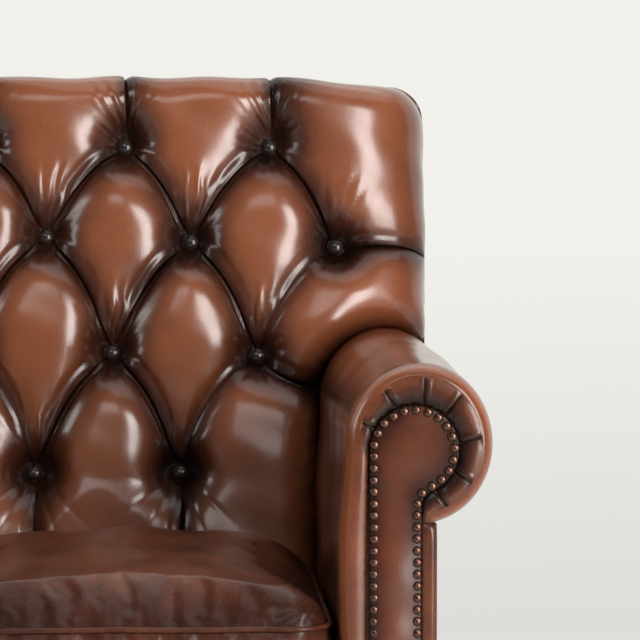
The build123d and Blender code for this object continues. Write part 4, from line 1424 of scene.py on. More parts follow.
@dataclass
class ArmRoll:
    """Padded arm with its rolled top and the pleated wrap round its front, one hide of leather.

    Corners are numbered by station (from the back, along the arm, over the front edge and in
    to the nails) and by place along the arm's outline.
    """

    side: Side
    front_y: float = -421.0
    wrap_back_y: float = -390.0
    pad_back_w: float = 53.5
    slab_z: float = 240.0
    edge_round: float = 15.0
    edge_depth: float = 31.0
    inner_bulge: float = 8.0
    unevenness: float = 1.1
    back_draw: float = 2.2
    nail_margin: float = 5.0
    puff: float = 4.6
    column_puff: float = 7.5
    dive: float = 3.0
    deepest: float = 5.6
    dart_out: tuple = (159.6, 125.4, 86.3, 47.9, 8.3, -33.5, -63.0)
    dart_in: tuple = (154.0, 116.0, 81.5, 53.5, 14.0, -21.6, -54.0)
    link_y: float = -402.0
    dart_start: float = 0.22
    dart_half: float = 1.25
    dart_depth: float = 2.8
    lip_gap: float = 5.0
    lip_half: float = 4.0
    lip_height: float = 1.1
    hollow_half: float = 8.0
    hollow_depth: float = 0.9
    straight_samples: int = 64
    round_samples: int = 500
    run_stations: int = 44

    def outline_lines(self) -> tuple[Array, Array, Array]:
        """Outline of the arm and the nail line's spots that face it.

        Returns:
            Outline points (x, z), facing points (x, z), and the roll angle of each place, which
            is above half a turn on the straight inside.
        """
        z = np.linspace(ARM.foot_z, ARM.roll_z, self.straight_samples, endpoint=False)
        low = (z - ARM.foot_z) / (ARM.roll_z - ARM.foot_z)
        fat = smoothstep(z, self.slab_z + 20, 400) * (1 - smoothstep(z, 470, ARM.roll_z))
        outer_low = np.stack([ARM.inner_x - self.inner_bulge * fat, z], -1)
        nail_z = ARM.foot_z + low * (ARM.head_z - ARM.foot_z)
        nail_low = np.stack([np.full_like(z, ARM.nail_x - self.nail_margin), nail_z], -1)
        angle = np.linspace(HALF_TURN, ARM.join_angle, self.round_samples)
        ends = math.degrees(ARM.join_angle)
        known_out = np.radians([ends, *self.dart_out[::-1], 180.0])
        known_in = np.radians([ends, *self.dart_in[::-1], 180.0])
        facing = ARM.nail_curve(np.interp(angle, known_out, known_in), self.nail_margin)
        outer = np.concatenate([outer_low, ARM.outline(angle)])
        nail = np.concatenate([nail_low, facing])
        return outer, nail, np.concatenate([HALF_TURN + (1 - low), angle])

    def build(self) -> Object:
        """Carry the front profile along the outline and close the shape behind.

        Returns:
            The new object.
        """
        outer, nail, angle = self.outline_lines()
        width = np.linalg.norm(nail - outer, axis=1)
        inward = (nail - outer) / width[:, None]
        rows, tones = [], []
        run = np.linspace(0, 1, self.run_stations)
        back_y = PLANE.y_of(outer[:, 1], self.pad_back_w)
        edge = np.minimum(self.edge_round, 0.5 * width)
        low = outer[:, 1] < self.slab_z
        for s in run:
            y = back_y + s * (self.front_y + self.edge_depth - back_y)
            y = np.where(low, np.minimum(y, self.wrap_back_y), y)
            out = self.unevenness * unevenness(y, outer.sum(1), 170, 5) * np.sin(HALF_TURN * s)
            out = out - self.back_draw * (1 - smoothstep(s * np.ones_like(y), 0, 0.1))
            place = outer - inward * out[:, None]
            rows.append(np.stack([place[:, 0], y, place[:, 1]], -1))
            rubbed = 0.7 * smoothstep(np.full(len(y), s), 0.9, 1.0)
            # Lighter on the rubbed front edge, and towards the top of the roll as painted highlight.
            tones.append(0.44 + 0.34 * np.maximum(smoothstep(outer[:, 1], 610, 680), rubbed))
        for turn in np.linspace(0, QUARTER_TURN, 18)[1:]:
            inset = edge * (1 - math.cos(turn))
            y = np.full(len(outer), self.front_y + self.edge_depth * (1 - math.sin(turn)))
            y = np.where(low, np.minimum(y, self.wrap_back_y), y)
            place = outer + inward * inset[:, None]
            rows.append(np.stack([place[:, 0], y, place[:, 1]], -1))
            tones.append(np.full(len(y), 0.6 + 0.34 * math.sin(2 * turn) ** 2))
        for t in np.linspace(0, 1, 30)[1:]:
            inset = edge + (width - edge) * t
            across = inset / width
            ring = self.puff * ((0.75 / 1.25) ** 2 - ((2 * t - 0.75) / 1.25) ** 2)
            straight = smoothstep(angle, HALF_TURN - 0.3, HALF_TURN + 0.3)
            rise = ring * (1 - straight) - self.column_puff * t**2 * straight
            late = np.clip((t - 0.7) / 0.3, 0, 1)
            fall = self.dive * (1 - math.sqrt(max(1 - late**2, 0)))
            dart, dart_shade = self.darts(angle, across)
            y = self.front_y + np.minimum(fall + dart - rise, self.deepest)
            place = outer + inward * inset[:, None]
            rows.append(np.stack([place[:, 0], y, place[:, 1]], -1))
            # Darker towards the nails, partly dark wax and partly painted shade, and darker still in the
            # darts as painted shade.
            start = np.where(angle > HALF_TURN, 0.55, 0.15)
            ring_tone = 0.6 - 0.54 * smoothstep(t + 0 * y, start, start * 0.3 + 0.8)
            tones.append(ring_tone * (1 - 0.9 * dart_shade) + 0 * y)
        rings = np.stack(rows)
        chord = np.linspace(1, 0, 8)[1:-1, None]
        link = rings[:, :1] + chord * (rings[:, -1:] - rings[:, :1])
        link[..., 1] = np.maximum(link[..., 1], self.link_y)
        rings = np.concatenate([rings, link], axis=1)
        tone = np.pad(np.stack(tones), ((0, 0), (0, len(chord))))
        return lofted(f"{self.side.word}_arm_roll", mirror_side(rings, self.side), tone)

    def dress(self, finishes: Finishes) -> None:
        """Build the arm and dress it."""
        nodes = [f"{self.side.word}_arm_pad", f"{self.side.word}_arm_front_wrap"]
        finishes.declare(self.build(), "arm_leather", nodes)

    def darts(self, angle: Array, across: Array) -> tuple[Array, Array]:
        """Depth of the darts round the nails, and the painted shade in their slits and hollows.

        Each dart is a narrow slit exp(-(d/half)^2) with a lifted lip on its upper side, and it
        fades in from the rim. Between darts the leather swells a little towards the nails.

        Args:
            angle: place along the roll, as its angle.
            across: share of the ring's width from the rim.

        Returns:
            Depth in millimetres (positive is sunk) and painted shade from 0 to 1.
        """
        depth = np.zeros_like(angle)
        dark = np.zeros_like(angle)
        size = 0.5 * (ARM.half_width + ARM.half_height) * (1 - 0.45 * across)
        for index, place in enumerate(np.radians(self.dart_out)):
            gap = (angle - place) * size
            shown = smoothstep(across, self.dart_start, self.dart_start + 0.22)
            shown = shown * (1 - 0.8 * smoothstep(across, 0.84, 1.0))
            slit, hollow = bell(gap, self.dart_half), bell(gap, self.hollow_half)
            side = -1 if index < 3 else 1
            lip = self.lip_height * bell(gap * side - self.lip_gap, self.lip_half)
            depth = depth + shown * (self.dart_depth * slit - lip + self.hollow_depth * hollow)
            dark = np.maximum(dark, shown * np.maximum(slit, 0.45 * hollow))
        return depth, dark


@dataclass
class OuterColumn:
    """Narrow padded strip on the outer side of the facing, under the roll."""

    side: Side
    front_y: float = -421.0
    back_y: float = -390.0
    foot_z: float = 98.0
    nail_margin: float = 5.0
    edge_round: float = 8.0
    bow: float = 1.2
    dive: float = 4.5
    inner_drop: float = 14.0
    outer_drop: float = 21.0
    rows: int = 60

    def build(self) -> Object:
        """Carry a closed rounded section up the column and close both ends.

        Returns:
            The new object.
        """
        inner, outer = ARM.neck_x + self.nail_margin, ARM.outer_x
        turn = np.linspace(0, QUARTER_TURN, 9)
        round_x = outer - self.edge_round * (1 - np.cos(turn))
        round_y = self.front_y - self.bow + self.edge_round * (1 - np.sin(turn))
        dive_x = np.linspace(outer - self.edge_round, inner, 8)[1:]
        t = np.linspace(0, 1, 8)[1:]
        dive_y = self.front_y - self.bow + self.dive * (1 - np.sqrt(1 - t**2 * 0.99))
        x = np.concatenate([[inner, outer], round_x, dive_x])
        y = np.concatenate([[self.back_y, self.back_y], round_y, dive_y])
        drop = np.interp(x, [inner, outer], [self.inner_drop, self.outer_drop])
        top = ARM.neck_z - drop
        share = np.linspace(0, 1, self.rows)[:, None]
        height = self.foot_z + share * (top[None] - self.foot_z)
        wave = 0.5 * np.sin(height / 41) + 0.3 * np.sin(height / 17 + 1)
        near_top = 1 - smoothstep(top[None] - height, 0, 9)
        xx = np.repeat(x[None], self.rows, 0)
        yy = y[None] + wave * (y[None] < self.front_y + 4) + 5 * near_top * (y[None] < -400)
        rings = mirror_side(np.stack([xx, yy, height], -1), self.side)
        # The front face is a little lighter than the sides; the top, tucked under the end of the roll,
        # is darkened as painted shade.
        tone = np.where(yy < self.front_y + 3, 0.52, 0.4) * np.where(near_top > 0.3, 0.2, 1.0)
        return lofted(f"{self.side.word}_arm_column", rings, tone)

    def dress(self, finishes: Finishes) -> None:
        """Build the strip and dress it."""
        finishes.declare(self.build(), "arm_leather")


@dataclass
class ScrollFacing:
    """Leather facing inside the nails, drawn over its board and a thin pad."""

    side: Side
    margin: float = 5.2
    back_y: float = -411.0
    edge_y: float = -419.6
    crown: float = 7.0
    crest: float = 0.36
    left_power: float = 2.2
    right_power: float = 1.7
    unevenness: float = 0.35
    rows: int = 150
    columns: int = 28

    def build(self) -> Object:
        """Span the left and right halves of the outline and close the plate behind.

        Row k joins the left half's spot k to the right half's spot k; both halves meet at the
        top of the head. The crown is 1 - s^p across, s being the share of the way from the
        crest to the left or right edge, and p is left_power or right_power.

        Returns:
            The new object.
        """
        upper = self.rows // 2
        low = self.rows - upper
        z = np.linspace(ARM.foot_z, ARM.head_z, low, endpoint=False)
        straight = np.stack([np.full(low, ARM.nail_x - self.margin), z], -1)
        reach = ARM.head_radius + self.margin
        head = np.array([ARM.nail_x + ARM.head_radius, ARM.head_z])
        turn = np.linspace(HALF_TURN, QUARTER_TURN, upper)
        left = np.concatenate([straight, head + reach * np.stack([np.cos(turn), np.sin(turn)], -1)])
        z = np.linspace(ARM.foot_z, ARM.neck_z, low, endpoint=False)
        straight = np.stack([np.full(low, ARM.neck_x + self.margin), z], -1)
        ring = ARM.nail_curve(np.linspace(ARM.join_angle, QUARTER_TURN, upper), self.margin)
        peak = head + np.array([0.0, reach])
        ring[-1] = peak
        right = np.concatenate([straight, ring])
        u = np.linspace(0, 1, self.columns)
        u = u - 0.5 * np.sin(FULL_TURN * u) / FULL_TURN
        flat = left[:, None] * (1 - u[None, :, None]) + right[:, None] * u[None, :, None]
        near_top = smoothstep(peak[1] - flat[..., 1], 0, 14)
        before = u < self.crest
        slope = np.where(before, (self.crest - u) / self.crest, (u - self.crest) / (1 - self.crest))
        fuller = 0.4 + 0.75 * smoothstep(ARM.neck_z + 30 - flat[..., 1], 0, 140)
        power = np.where(before, self.left_power, self.right_power)
        crown = self.crown * (1 - slope**power)[None] * near_top * fuller
        crown = crown + self.unevenness * unevenness(*flat.transpose(2, 0, 1), 60, 11) * near_top
        y = self.edge_y - crown
        front = np.stack([flat[..., 0], y, flat[..., 1]], -1)
        first, last = front[:, :1].copy(), front[:, -1:].copy()
        first[..., 1] = last[..., 1] = self.back_y
        sheet = np.concatenate([first, front, last], axis=1)
        # Darker at both edges by the nails, partly dark wax and partly painted shade; the back walls are
        # darkest.
        tone = np.concatenate([0 * u[:1], 0.08 + 0.72 * np.sin(HALF_TURN * u) ** 0.8, 0 * u[:1]])
        tone = np.repeat(tone[None], len(sheet), 0)
        rings = mirror_side(sheet, self.side)
        return lofted(f"{self.side.word}_scroll_facing", rings, tone, close_last=False)

    def dress(self, finishes: Finishes) -> None:
        """Build the facing and dress it."""
        nodes = [f"{self.side.word}_arm_facing"]
        finishes.declare(self.build(), "facing_leather", nodes)


@dataclass
class PostWrap:
    """Leather turned round the front of a back post, between the border and the outside arm."""

    side: Side
    inner_x: float = 367.4
    outer_x: float = 402.7
    back_w: float = 50.1
    thickness: float = 2.9
    foot_z: float = 98.6
    top_z: float = 560.0
    tone: float = 0.55
    rows: int = 60
    columns: int = 24

    def build(self) -> Object:
        """Carry a closed lens section up the post.

        The front stands out by thickness * (1 - |2u - 1|^6), less a slow unevenness.

        Returns:
            The new object.
        """
        u = np.linspace(0, 1, self.columns)
        z = np.linspace(self.foot_z, self.top_z, self.rows)[:, None]
        across = self.inner_x + u * (self.outer_x - self.inner_x)
        x = np.repeat(across[None], self.rows, 0)
        rise = self.thickness * (1 - np.abs(2 * u - 1) ** 6)[None] * np.ones_like(z)
        rise = rise * (0.85 + 0.12 * unevenness(x, z + 0 * x, 70, 41))
        w = self.back_w + rise
        front = PLANE.place(x, PLANE.height_of(z, w), w)
        back = PLANE.place(x, PLANE.height_of(z, self.back_w), self.back_w + 0 * x)
        rings = mirror_side(np.concatenate([front, back[:, ::-1]], axis=1), self.side)
        return lofted(f"{self.side.word}_post_wrap", rings, np.full(rings.shape[:2], self.tone))

    def dress(self, finishes: Finishes) -> None:
        """Build the wrap and dress it."""
        finishes.declare(self.build(), "outside_leather")


# Seat


@dataclass(frozen=True)
class Inflation:
    """Cloth simulation that fills a closed cushion by pressure, with its seams held."""

    voxel: float = 6.0
    pressure: float = 4.0
    spare: float = 0.03
    quality: int = 5
    mass: float = 0.3
    stiffness: float = 15.0
    bending: float = 0.5
    steps: int = 20
    cap: float = 13.0

    def baked(self, piece: Object) -> Mesh:
        """Mesh of a piece with its modifiers applied."""
        piece_now = piece.evaluated_get(bpy.context.evaluated_depsgraph_get())
        return bpy.data.meshes.new_from_object(piece_now)

    def settle(self, piece: Object) -> None:
        """Put the applied mesh into a piece and clear its modifiers.

        Args:
            piece: the piece.
        """
        mesh = self.baked(piece)
        piece.modifiers.clear()
        piece.data = mesh

    def places(self, mesh: Mesh) -> Array:
        """Corners of a mesh, in millimetres."""
        return np.array([corner.co[:] for corner in mesh.vertices]) / MM

    def fill(self, piece: Object, held: Callable) -> None:
        """Remesh the piece, blow it up like a filled cover and subdivide it once.

        A corner moves by at most the cap: its path is shortened by cap / max(cap, length).

        Args:
            piece: closed form, a little smaller than the filled cushion.
            held: function from corners to a hold of 0 to 1, 1 on the seams and the base.
        """
        remesh = piece.modifiers.new("voxels", "REMESH")
        remesh.mode, remesh.voxel_size = "VOXEL", self.voxel * MM
        self.settle(piece)
        before = self.places(piece.data)
        pins = piece.vertex_groups.new(name="held")
        hold = held(before)
        for index in np.nonzero(hold > 0.5)[0].tolist():
            pins.add([index], 1.0, "REPLACE")
        cloth = piece.modifiers.new("filling", "CLOTH")
        rules = cloth.settings
        rules.vertex_group_mass = "held"
        rules.quality = self.quality
        rules.mass = self.mass
        rules.tension_stiffness = rules.compression_stiffness = self.stiffness
        rules.bending_stiffness = self.bending
        rules.shrink_min = -self.spare
        rules.use_pressure = True
        rules.uniform_pressure_force = self.pressure
        rules.effector_weights.gravity = 0.0
        cloth.collision_settings.use_collision = False
        cloth.point_cache.frame_start, cloth.point_cache.frame_end = 1, self.steps
        scene = bpy.context.scene
        for frame_number in range(1, self.steps + 1):
            scene.frame_set(frame_number)
        after = self.places(self.baked(piece))
        scene.frame_set(1)
        piece.modifiers.clear()
        move = after - before
        length = np.linalg.norm(move, axis=1, keepdims=True)
        final = before + move * self.cap / np.maximum(length, self.cap)
        piece.data.vertices.foreach_set("co", (final * MM).astype(np.float32).reshape(-1))
        piece.vertex_groups.clear()
        log.info("%s: filled, corners moved up to %.1f mm", piece.name, length.max())
        smooth = piece.modifiers.new("smooth", "SUBSURF")
        smooth.levels = smooth.render_levels = 1
        self.settle(piece)
        weld(piece)


@dataclass
class SeatCushion:
    """Loose seat cushion: crowned top, boxed sides and a flat bottom, with welts on its seams."""

    name: str = "seat_cushion_form"
    half_width: float = 241.0
    front_y: float = -418.0
    back_y: float = 99.2
    corner: float = 46.0
    bottom_z: float = 271.9
    low_z: float = 282.7
    top_z: float = 380.7
    crown: float = 58.0
    crown_run: float = 140.0
    crown_power: float = 2.2
    lean: float = 7.0
    side_fall: float = 12.0
    fall_at: float = 170.0
    sat_depth: float = 5.0
    sat_reach: tuple = (150.0, 170.0)
    wave: float = 2.4
    bulge: float = 1.5
    draw: float = 14.0
    welt: float = 3.3
    welt_offset: float = 2.6
    welt_wave: float = 0.6
    around: int = 300
    top_rings: int = 46
    side_rings: int = 18
    bottom_rings: int = 10

    @property
    def middle(self) -> Array:
        """Middle (x, y) of the cushion."""
        return np.array([0.0, (self.front_y + self.back_y) / 2])

    def outline(self) -> Array:
        """Rounded rectangle of the seams: straight sides and quarter-circle corners.

        Returns:
            Points (x, y), evenly spread along the outline.
        """
        half = np.array([self.half_width, (self.back_y - self.front_y) / 2])
        inner = half - self.corner
        turns = np.linspace(0, QUARTER_TURN, 24)
        corners = []
        for index, (sx, sy) in enumerate([(1, 1), (-1, 1), (-1, -1), (1, -1)]):
            angle = turns + index * QUARTER_TURN
            arc = np.stack([np.cos(angle), np.sin(angle)], -1) * self.corner
            corners.append(arc + inner * np.array([sx, sy]))
        ring = np.concatenate(corners + [corners[0][:1]])
        at = np.linspace(0, lengths_along(ring)[-1], self.around, endpoint=False)
        return points_at(ring, at) + self.middle

    def inset(self, place: Array) -> Array:
        """Distance of points inside the outline.

        Args:
            place: points (x, y).

        Returns:
            The distances, below 0 outside.
        """
        half = np.array([self.half_width, (self.back_y - self.front_y) / 2]) - self.corner
        q = np.abs(place - self.middle) - half
        outside = np.linalg.norm(np.maximum(q, 0), axis=-1)
        inside = np.minimum(q.max(-1), 0)
        return self.corner - outside - inside

    def build(self) -> Object:
        """Make the closed cushion from rings: top pole, top edge, boxing, bottom edge, pole.

        The top's height is crown times (1 - (1 - d/run)^p)^(1/p), d being the distance in from
        the seam; it leans up to the back and falls with the square of x to the sides. The
        boxing bulges as a sine; the bottom lies flat.

        Returns:
            The new object.
        """
        ring = self.outline()
        middle = self.middle
        rows, tones = [], []
        for q in np.linspace(0, 1, self.top_rings) ** 0.5:
            place = middle + (ring - middle) * q
            d = np.clip(self.inset(place) / self.crown_run, 0, 1)
            rise = self.crown * (1 - (1 - d) ** self.crown_power) ** (1 / self.crown_power)
            settle = self.sat_depth * np.exp(-(((place - middle) / self.sat_reach) ** 2).sum(1))
            soft = smoothstep(d, 0, 0.6)
            wave = self.wave * unevenness(place[:, 0], place[:, 1], 150, 8) * soft
            back = (place[:, 1] - middle[1]) / (self.back_y - middle[1])
            fall = self.side_fall * np.minimum(np.abs(place[:, 0]) / self.fall_at, 1.2) ** 2
            z = self.top_z + rise - settle + wave + (self.lean * back - fall) * soft
            rows.append(np.insert(place, 2, z, axis=1))
            tones.append(0.3 + 0.45 * soft)
        normal = self.outward(ring)
        for t in np.linspace(0, 1, self.side_rings)[1:]:
            z = self.top_z + (self.low_z - self.top_z) * t
            swell = self.bulge * math.sin(HALF_TURN * t) ** 0.6 if 0 < t < 1 else 0.0
            place = ring + normal * swell
            rows.append(np.insert(place, 2, z, axis=1))
            tones.append(np.full(len(ring), 0.35 + 0.35 * math.sin(HALF_TURN * t)))
        for t in np.linspace(0, 1, 5)[1:]:
            inset = self.draw * (1 - math.cos(QUARTER_TURN * t))
            z = self.low_z - (self.low_z - self.bottom_z) * math.sin(QUARTER_TURN * t)
            place = ring - normal * inset
            rows.append(np.insert(place, 2, z, axis=1))
            tones.append(np.full(len(ring), 0.2))
        edge = rows[-1][:, :2]
        for q in np.linspace(1, 0, self.bottom_rings)[1:]:
            place = middle + (edge - middle) * q
            rows.append(np.insert(place, 2, self.bottom_z, axis=1))
            tones.append(np.full(len(ring), 0.2))
        points = np.concatenate(rows)
        piece = add_mesh(self.name, points, grid_faces(len(rows), self.around, wrap=True))
        set_tone(piece, np.concatenate(tones))
        weld(piece)
        return piece

    def held(self, places: Array) -> Array:
        """Hold of each corner in the simulation: 1 on both seams and the base, 0 elsewhere."""
        seam = (np.abs(places[:, 2] - self.top_z) < 5) & (self.inset(places[:, :2]) < 8)
        return np.where(seam | (places[:, 2] < self.low_z + 4), 1.0, 0.0)

    def dress(self, finishes: Finishes, inflation: Inflation) -> None:
        """Build the cover and its welts, blow the cover up and dress both.

        Args:
            finishes: the finishes of the chair.
            inflation: the simulation that fills the cover.
        """
        cover = self.build()
        inflation.fill(cover, self.held)
        self.stain(cover, inflation.places(cover.data))
        leather, body = "cushion_leather", "seat_cushion"
        finishes.declare(cover, leather, ["seat_cushion_cover"], body=body)
        finishes.declare(self.build_welts(), leather, ["seat_cushion_welts"], body=body)

    def stain(self, piece: Object, places: Array) -> None:
        """Store the tone of a filled cushion: rubbed on its crown, darker by its seams.

        Args:
            piece: the cushion.
            places: its corners.
        """
        inset = self.inset(places[:, :2])
        crown = 0.25 + 0.5 * smoothstep(inset, 0, 70)
        share = np.clip((places[:, 2] - self.low_z) / (self.top_z - self.low_z), 0, 1)
        boxing = 0.3 + 0.4 * np.sin(HALF_TURN * share)
        set_tone(piece, np.where(places[:, 2] > self.top_z, crown, boxing))

    def outward(self, ring: Array) -> Array:
        """Unit direction (x, y) outwards at each point (x, y) of a closed ring."""
        run = np.roll(ring, -1, 0) - np.roll(ring, 1, 0)
        return np.stack([run[:, 1], -run[:, 0]], -1) / np.linalg.norm(run, axis=1)[:, None]

    def build_welts(self) -> Object:
        """Make two round welts, each a circle carried along the seam's outline.

        Returns:
            The new object.
        """
        ring = self.outline()
        normal = self.outward(ring)
        turn = np.linspace(0, FULL_TURN, 12, endpoint=False)
        all_points, faces = [], []
        for index, z in enumerate((self.top_z, self.low_z)):
            wave = self.welt_wave * unevenness(ring[:, 0], ring[:, 1], 120, 20 + index)
            offset = self.welt_offset + self.welt * np.cos(turn)
            place = ring[:, None] + normal[:, None] * offset[None, :, None]
            height = z + wave[:, None] + self.welt * np.sin(turn)[None]
            all_points.append(np.concatenate([place, height[..., None]], -1).reshape(-1, 3))
            start = index * height.size
            faces += grid_faces(*height.shape, start=start, wrap=True)
            first = start + np.arange(len(turn))
            last = first + height.size - len(turn)
            ends = np.stack([last, np.roll(last, -1), np.roll(first, -1), first], -1)
            faces += ends.tolist()
        piece = add_mesh("seat_cushion_piping", np.concatenate(all_points), faces)
        set_tone(piece, np.full(len(piece.data.vertices), 0.5))
        weld(piece)
        return piece


@dataclass
class StuffedSlab:
    """Flat stuffed piece across the chair: the border under the cushion, or the seat deck."""

    name: str = "front_border_pad"
    half_width: float = 259.5
    front_y: float = -408.0
    back_y: float = -384.5
    foot_z: float = 98.2
    top_z: float = 271.3
    power: float = 7.0
    bow: float = 3.5
    wave: float = 0.0
    columns: int = 90
    around: int = 72

    def build(self) -> Object:
        """Carry a rounded box section (|a|^p + |b|^p = 1) across, pulled in at both ends.

        The front bows out by a cosine of the height, and the top sinks in soft waves.

        Returns:
            The new object.
        """
        turn = np.linspace(0, FULL_TURN, self.around, endpoint=False)
        cos, sin = np.cos(turn), np.sin(turn)
        a = np.sign(cos) * np.abs(cos) ** (2 / self.power)
        b = np.sign(sin) * np.abs(sin) ** (2 / self.power)
        s = np.sin(np.linspace(-1, 1, self.columns) * QUARTER_TURN)
        x = s * self.half_width
        mid_y, mid_z = (self.front_y + self.back_y) / 2, (self.foot_z + self.top_z) / 2
        half_y, half_z = (self.back_y - self.front_y) / 2, (self.top_z - self.foot_z) / 2
        grow = ((1 - np.abs(s) ** 14) ** (1 / 6))[:, None]
        y = mid_y + a[None] * half_y * grow
        z = mid_z + b[None] * (half_z - 6 * (1 - grow))
        bow = self.bow * np.cos(QUARTER_TURN * np.clip(b, -1, 1)) * (a < -0.2)
        y = y - bow[None] * smoothstep(1 - np.abs(s), 0, 0.1)[:, None]
        dip = self.wave * (1 + unevenness(x[:, None] + 0 * y, y, 130, 31)) / 2
        z = z - np.maximum(dip, 0) * smoothstep(b, 0.7, 1.0)[None]
        rings = np.stack([np.repeat(x[:, None], self.around, 1), y, z], -1)
        return lofted(self.name, rings, 0.35 + 0.35 * np.tile(np.cos(QUARTER_TURN * b), self.columns))


def dress_seat(finishes: Finishes) -> None:
    """Build and dress the seat: the filling, the cushion round it, the border and the deck.

    Args:
        finishes: the finishes of the chair.
    """
    filling = SeatCushion(
        name="seat_cushion_filling", half_width=229.0, front_y=-402.0, back_y=84.0, corner=38.0,
        bottom_z=275.0, low_z=290.0, top_z=366.0, crown=47.0, crown_run=150.0, crown_power=2.0,
        bulge=0.0,
    )
    core = filling.build()
    finishes.declare(core, "stuffing", ["seat_cushion_core"], "seat_cushion")
    SeatCushion().dress(finishes, Inflation())
    border = StuffedSlab().build()
    finishes.declare(border, "arm_leather", ["front_border"])
    deck = StuffedSlab(
        name="seat_deck_pad", half_width=259.4, front_y=-383.7, back_y=220.0, foot_z=237.7,
        top_z=271.3, power=9.0, bow=0.0, wave=5.0, columns=120, around=160,
    )
    finishes.declare(deck.build(), "deck_cloth", ["seat_deck"])


# Studio


@dataclass(frozen=True)
class Lamp:
    """One soft rectangular light of the studio, in metres and watts."""

    name: str
    place: tuple
    aim: tuple
    width: float
    height: float
    power: float
    colour: tuple = (1.0, 1.0, 1.0)

    def build(self) -> None:
        """Hang the lamp and turn it to its aim."""
        light = bpy.data.lights.new(self.name, "AREA")
        light.shape = "RECTANGLE"
        light.size, light.size_y = self.width, self.height
        light.energy = self.power
        light.color = self.colour
        lamp = bpy.data.objects.new(self.name, light)
        lamp.location = self.place
        heading = Vector(self.aim) - Vector(self.place)
        lamp.rotation_euler = heading.to_track_quat("-Z", "Y").to_euler()
        bpy.context.scene.collection.objects.link(lamp)


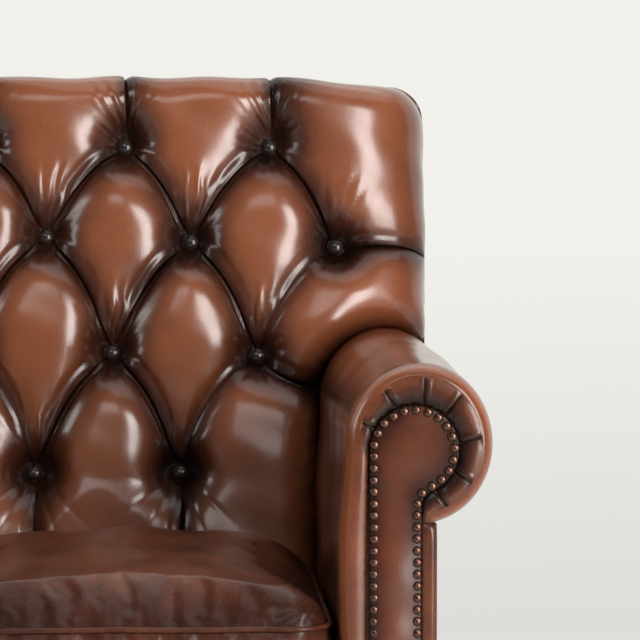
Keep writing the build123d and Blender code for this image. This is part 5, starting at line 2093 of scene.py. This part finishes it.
@dataclass
class Studio:
    """Pale floor and wall, soft lights and the photograph's camera."""

    wall_y: float = 2240.0
    half_span: float = 9000.0
    wall_height: float = 7000.0
    paper: tuple = (0.9, 0.893, 0.855, 1.0)
    floor_tint: tuple = (0.95, 0.94, 0.92, 1.0)
    floor_lit: float = 0.85
    floor_mirrored: float = 0.12
    wall_lit: float = 1.0
    wall_mirrored: float = 0.9
    shaded: float = 0.82
    air_tint: tuple = (1.0, 0.99, 0.97, 1.0)
    air: float = 0.17
    sky: float = 0.86
    camera_place: tuple = (0.0, -4.945, 1.024)
    yaw: float = 2.9008
    pitch: float = 3.5507
    lens: float = 219.375
    film_width: float = 36.0

    def paint(self, name: str, colour: tuple, lit: float, mirrored: float) -> Material:
        """Pale matt paint that shows its plain colour by shares and is clear from behind.

        Args:
            name: name of the material.
            colour: the paint's colour.
            lit: share that the camera sees.
            mirrored: share that glossy and clear pieces see.

        Returns:
            The material.
        """
        material, tree, shader, place = new_material(name)
        cloud = node(tree, "ShaderNodeTexNoise", {"Vector": place, "Scale": 1.5, "Detail": 3.0})
        height = node(tree, "ShaderNodeSeparateXYZ", {0: place}).outputs["Z"]
        # Painted shade: the wall darkens towards the floor over its lowest 0.75 m, and the floor keeps
        # that darker level all over.
        low = ramp(tree, height, [(0.0, self.shaded), (0.75, 1.0)])
        shaded = mix_colour(tree, low, BLACK, colour)
        darker = mix_colour(tree, 0.03, shaded, BLACK)
        tint = mix_colour(tree, cloud.outputs[0], shaded, darker)
        feed(tree, shader, {"Base Color": tint, "Roughness": 0.85})
        rays = node(tree, "ShaderNodeLightPath", {})
        direct = math_node(tree, "MULTIPLY", rays.outputs["Is Camera Ray"], lit)
        glossy, through = rays.outputs["Is Glossy Ray"], rays.outputs["Is Transmission Ray"]
        bounced = math_node(tree, "MULTIPLY", math_node(tree, "MAXIMUM", glossy, through), mirrored)
        share = math_node(tree, "MAXIMUM", direct, bounced)
        glow = node(tree, "ShaderNodeEmission", {"Color": tint, "Strength": 1.0})
        links = {0: share, 1: shader.outputs[0], 2: glow.outputs[0]}
        paint = node(tree, "ShaderNodeMixShader", links)
        behind = node(tree, "ShaderNodeNewGeometry", {}).outputs["Backfacing"]
        clear = node(tree, "ShaderNodeBsdfTransparent", {})
        links = {0: behind, 1: paint.outputs[0], 2: clear.outputs[0]}
        sided = node(tree, "ShaderNodeMixShader", links)
        feed(tree, tree.nodes["Material Output"], {"Surface": sided.outputs[0]})
        return material

    def plate(self, name: str, corners: list, colour: tuple, lit: float, mirrored: float) -> None:
        """Make one flat sheet of the stage, in its paint.

        Args:
            name: name of the sheet and its material.
            corners: its four corners.
            colour: the paint's colour.
            lit: share that the camera sees.
            mirrored: share that glossy and clear pieces see.
        """
        piece = add_mesh(name, np.array(corners, float), [[0, 1, 2, 3]])
        piece.data.materials.append(self.paint(name, colour, lit, mirrored))

    def build(self) -> None:
        """Make the floor, the wall, the lights and the camera."""
        half, behind, top = self.half_span, self.wall_y, self.wall_height
        floor = [(-half, -half, 0), (half, -half, 0), (half, half, 0), (-half, half, 0)]
        self.plate("studio_floor", floor, self.floor_tint, self.floor_lit, self.floor_mirrored)
        wall = [(-half, behind, 0), (half, behind, 0), (half, behind, top), (-half, behind, top)]
        self.plate("studio_wall", wall, self.paper, self.wall_lit, self.wall_mirrored)
        self.light()
        self.hang_camera()

    def light(self) -> None:
        """Set the even light of the air and hang the lamps."""
        world = bpy.data.worlds.new("studio_air")
        bpy.context.scene.world = world
        world.use_nodes = True
        tree = world.node_tree
        seen = node(tree, "ShaderNodeLightPath", {}).outputs["Is Camera Ray"]
        level = math_node(tree, "MULTIPLY_ADD", seen, self.sky - self.air, self.air)
        feed(tree, tree.nodes["Background"], {0: self.air_tint, 1: level})
        lamps = [
            Lamp("tall_window", (2.2, -2.82, 1.35), (0, 0, 0.8), 1.25, 2.4, 118, (1, 0.965, 0.95)),
            Lamp("left_fill", (-3.3, -0.1, 1.65), (0.2, -0.2, 0.5), 1.4, 2.2, 46),
            Lamp("front_glow", (-0.2, -3.3, 3.0), (0, 0, 0.6), 2.2, 1.2, 21),
            Lamp("ceiling_glow", (0.6, 0.6, 3.6), (0, 0.1, 0.6), 4.0, 3.0, 38),
        ]
        for lamp in lamps:
            lamp.build()

    def hang_camera(self) -> None:
        """Set the camera where the photograph was taken from."""
        camera = bpy.data.cameras.new("photo_camera")
        camera.lens = self.lens
        camera.sensor_width = self.film_width
        camera.clip_end = 100.0
        view = bpy.data.objects.new("photo_camera", camera)
        view.location = self.camera_place
        yaw, pitch = math.radians(self.yaw), math.radians(self.pitch)
        heading = Vector(
            (math.sin(yaw) * math.cos(pitch), math.cos(yaw) * math.cos(pitch), -math.sin(pitch))
        )
        view.rotation_euler = heading.to_track_quat("-Z", "Y").to_euler()
        bpy.context.scene.collection.objects.link(view)
        bpy.context.scene.camera = view
        bpy.context.scene.view_settings.view_transform = "Standard"


def main() -> None:
    """Dress the chair piece by piece and report each one."""
    logging.basicConfig(level=logging.INFO, format="%(name)s: %(message)s")
    finishes = Finishes(Groups())
    finishes.build()
    slots = {part["node"]: part["material_slot"] for part in frame["record"]["subparts"]}
    for name in frame["nodes"]:
        finishes.dress_node(name, FINISH_OF_SLOT.get(slots[name], slots[name]))
    Studio().build()
    log.info("studio ready")
    back = TuftedBack()
    back.dress(finishes)
    BackButtons().dress(finishes, back)
    for side in Side:
        for kind in (NailRow, ArmRoll, OuterColumn, PostWrap, ScrollFacing):
            kind(side).dress(finishes)
    dress_seat(finishes)


if __name__ == "__main__":
    main()
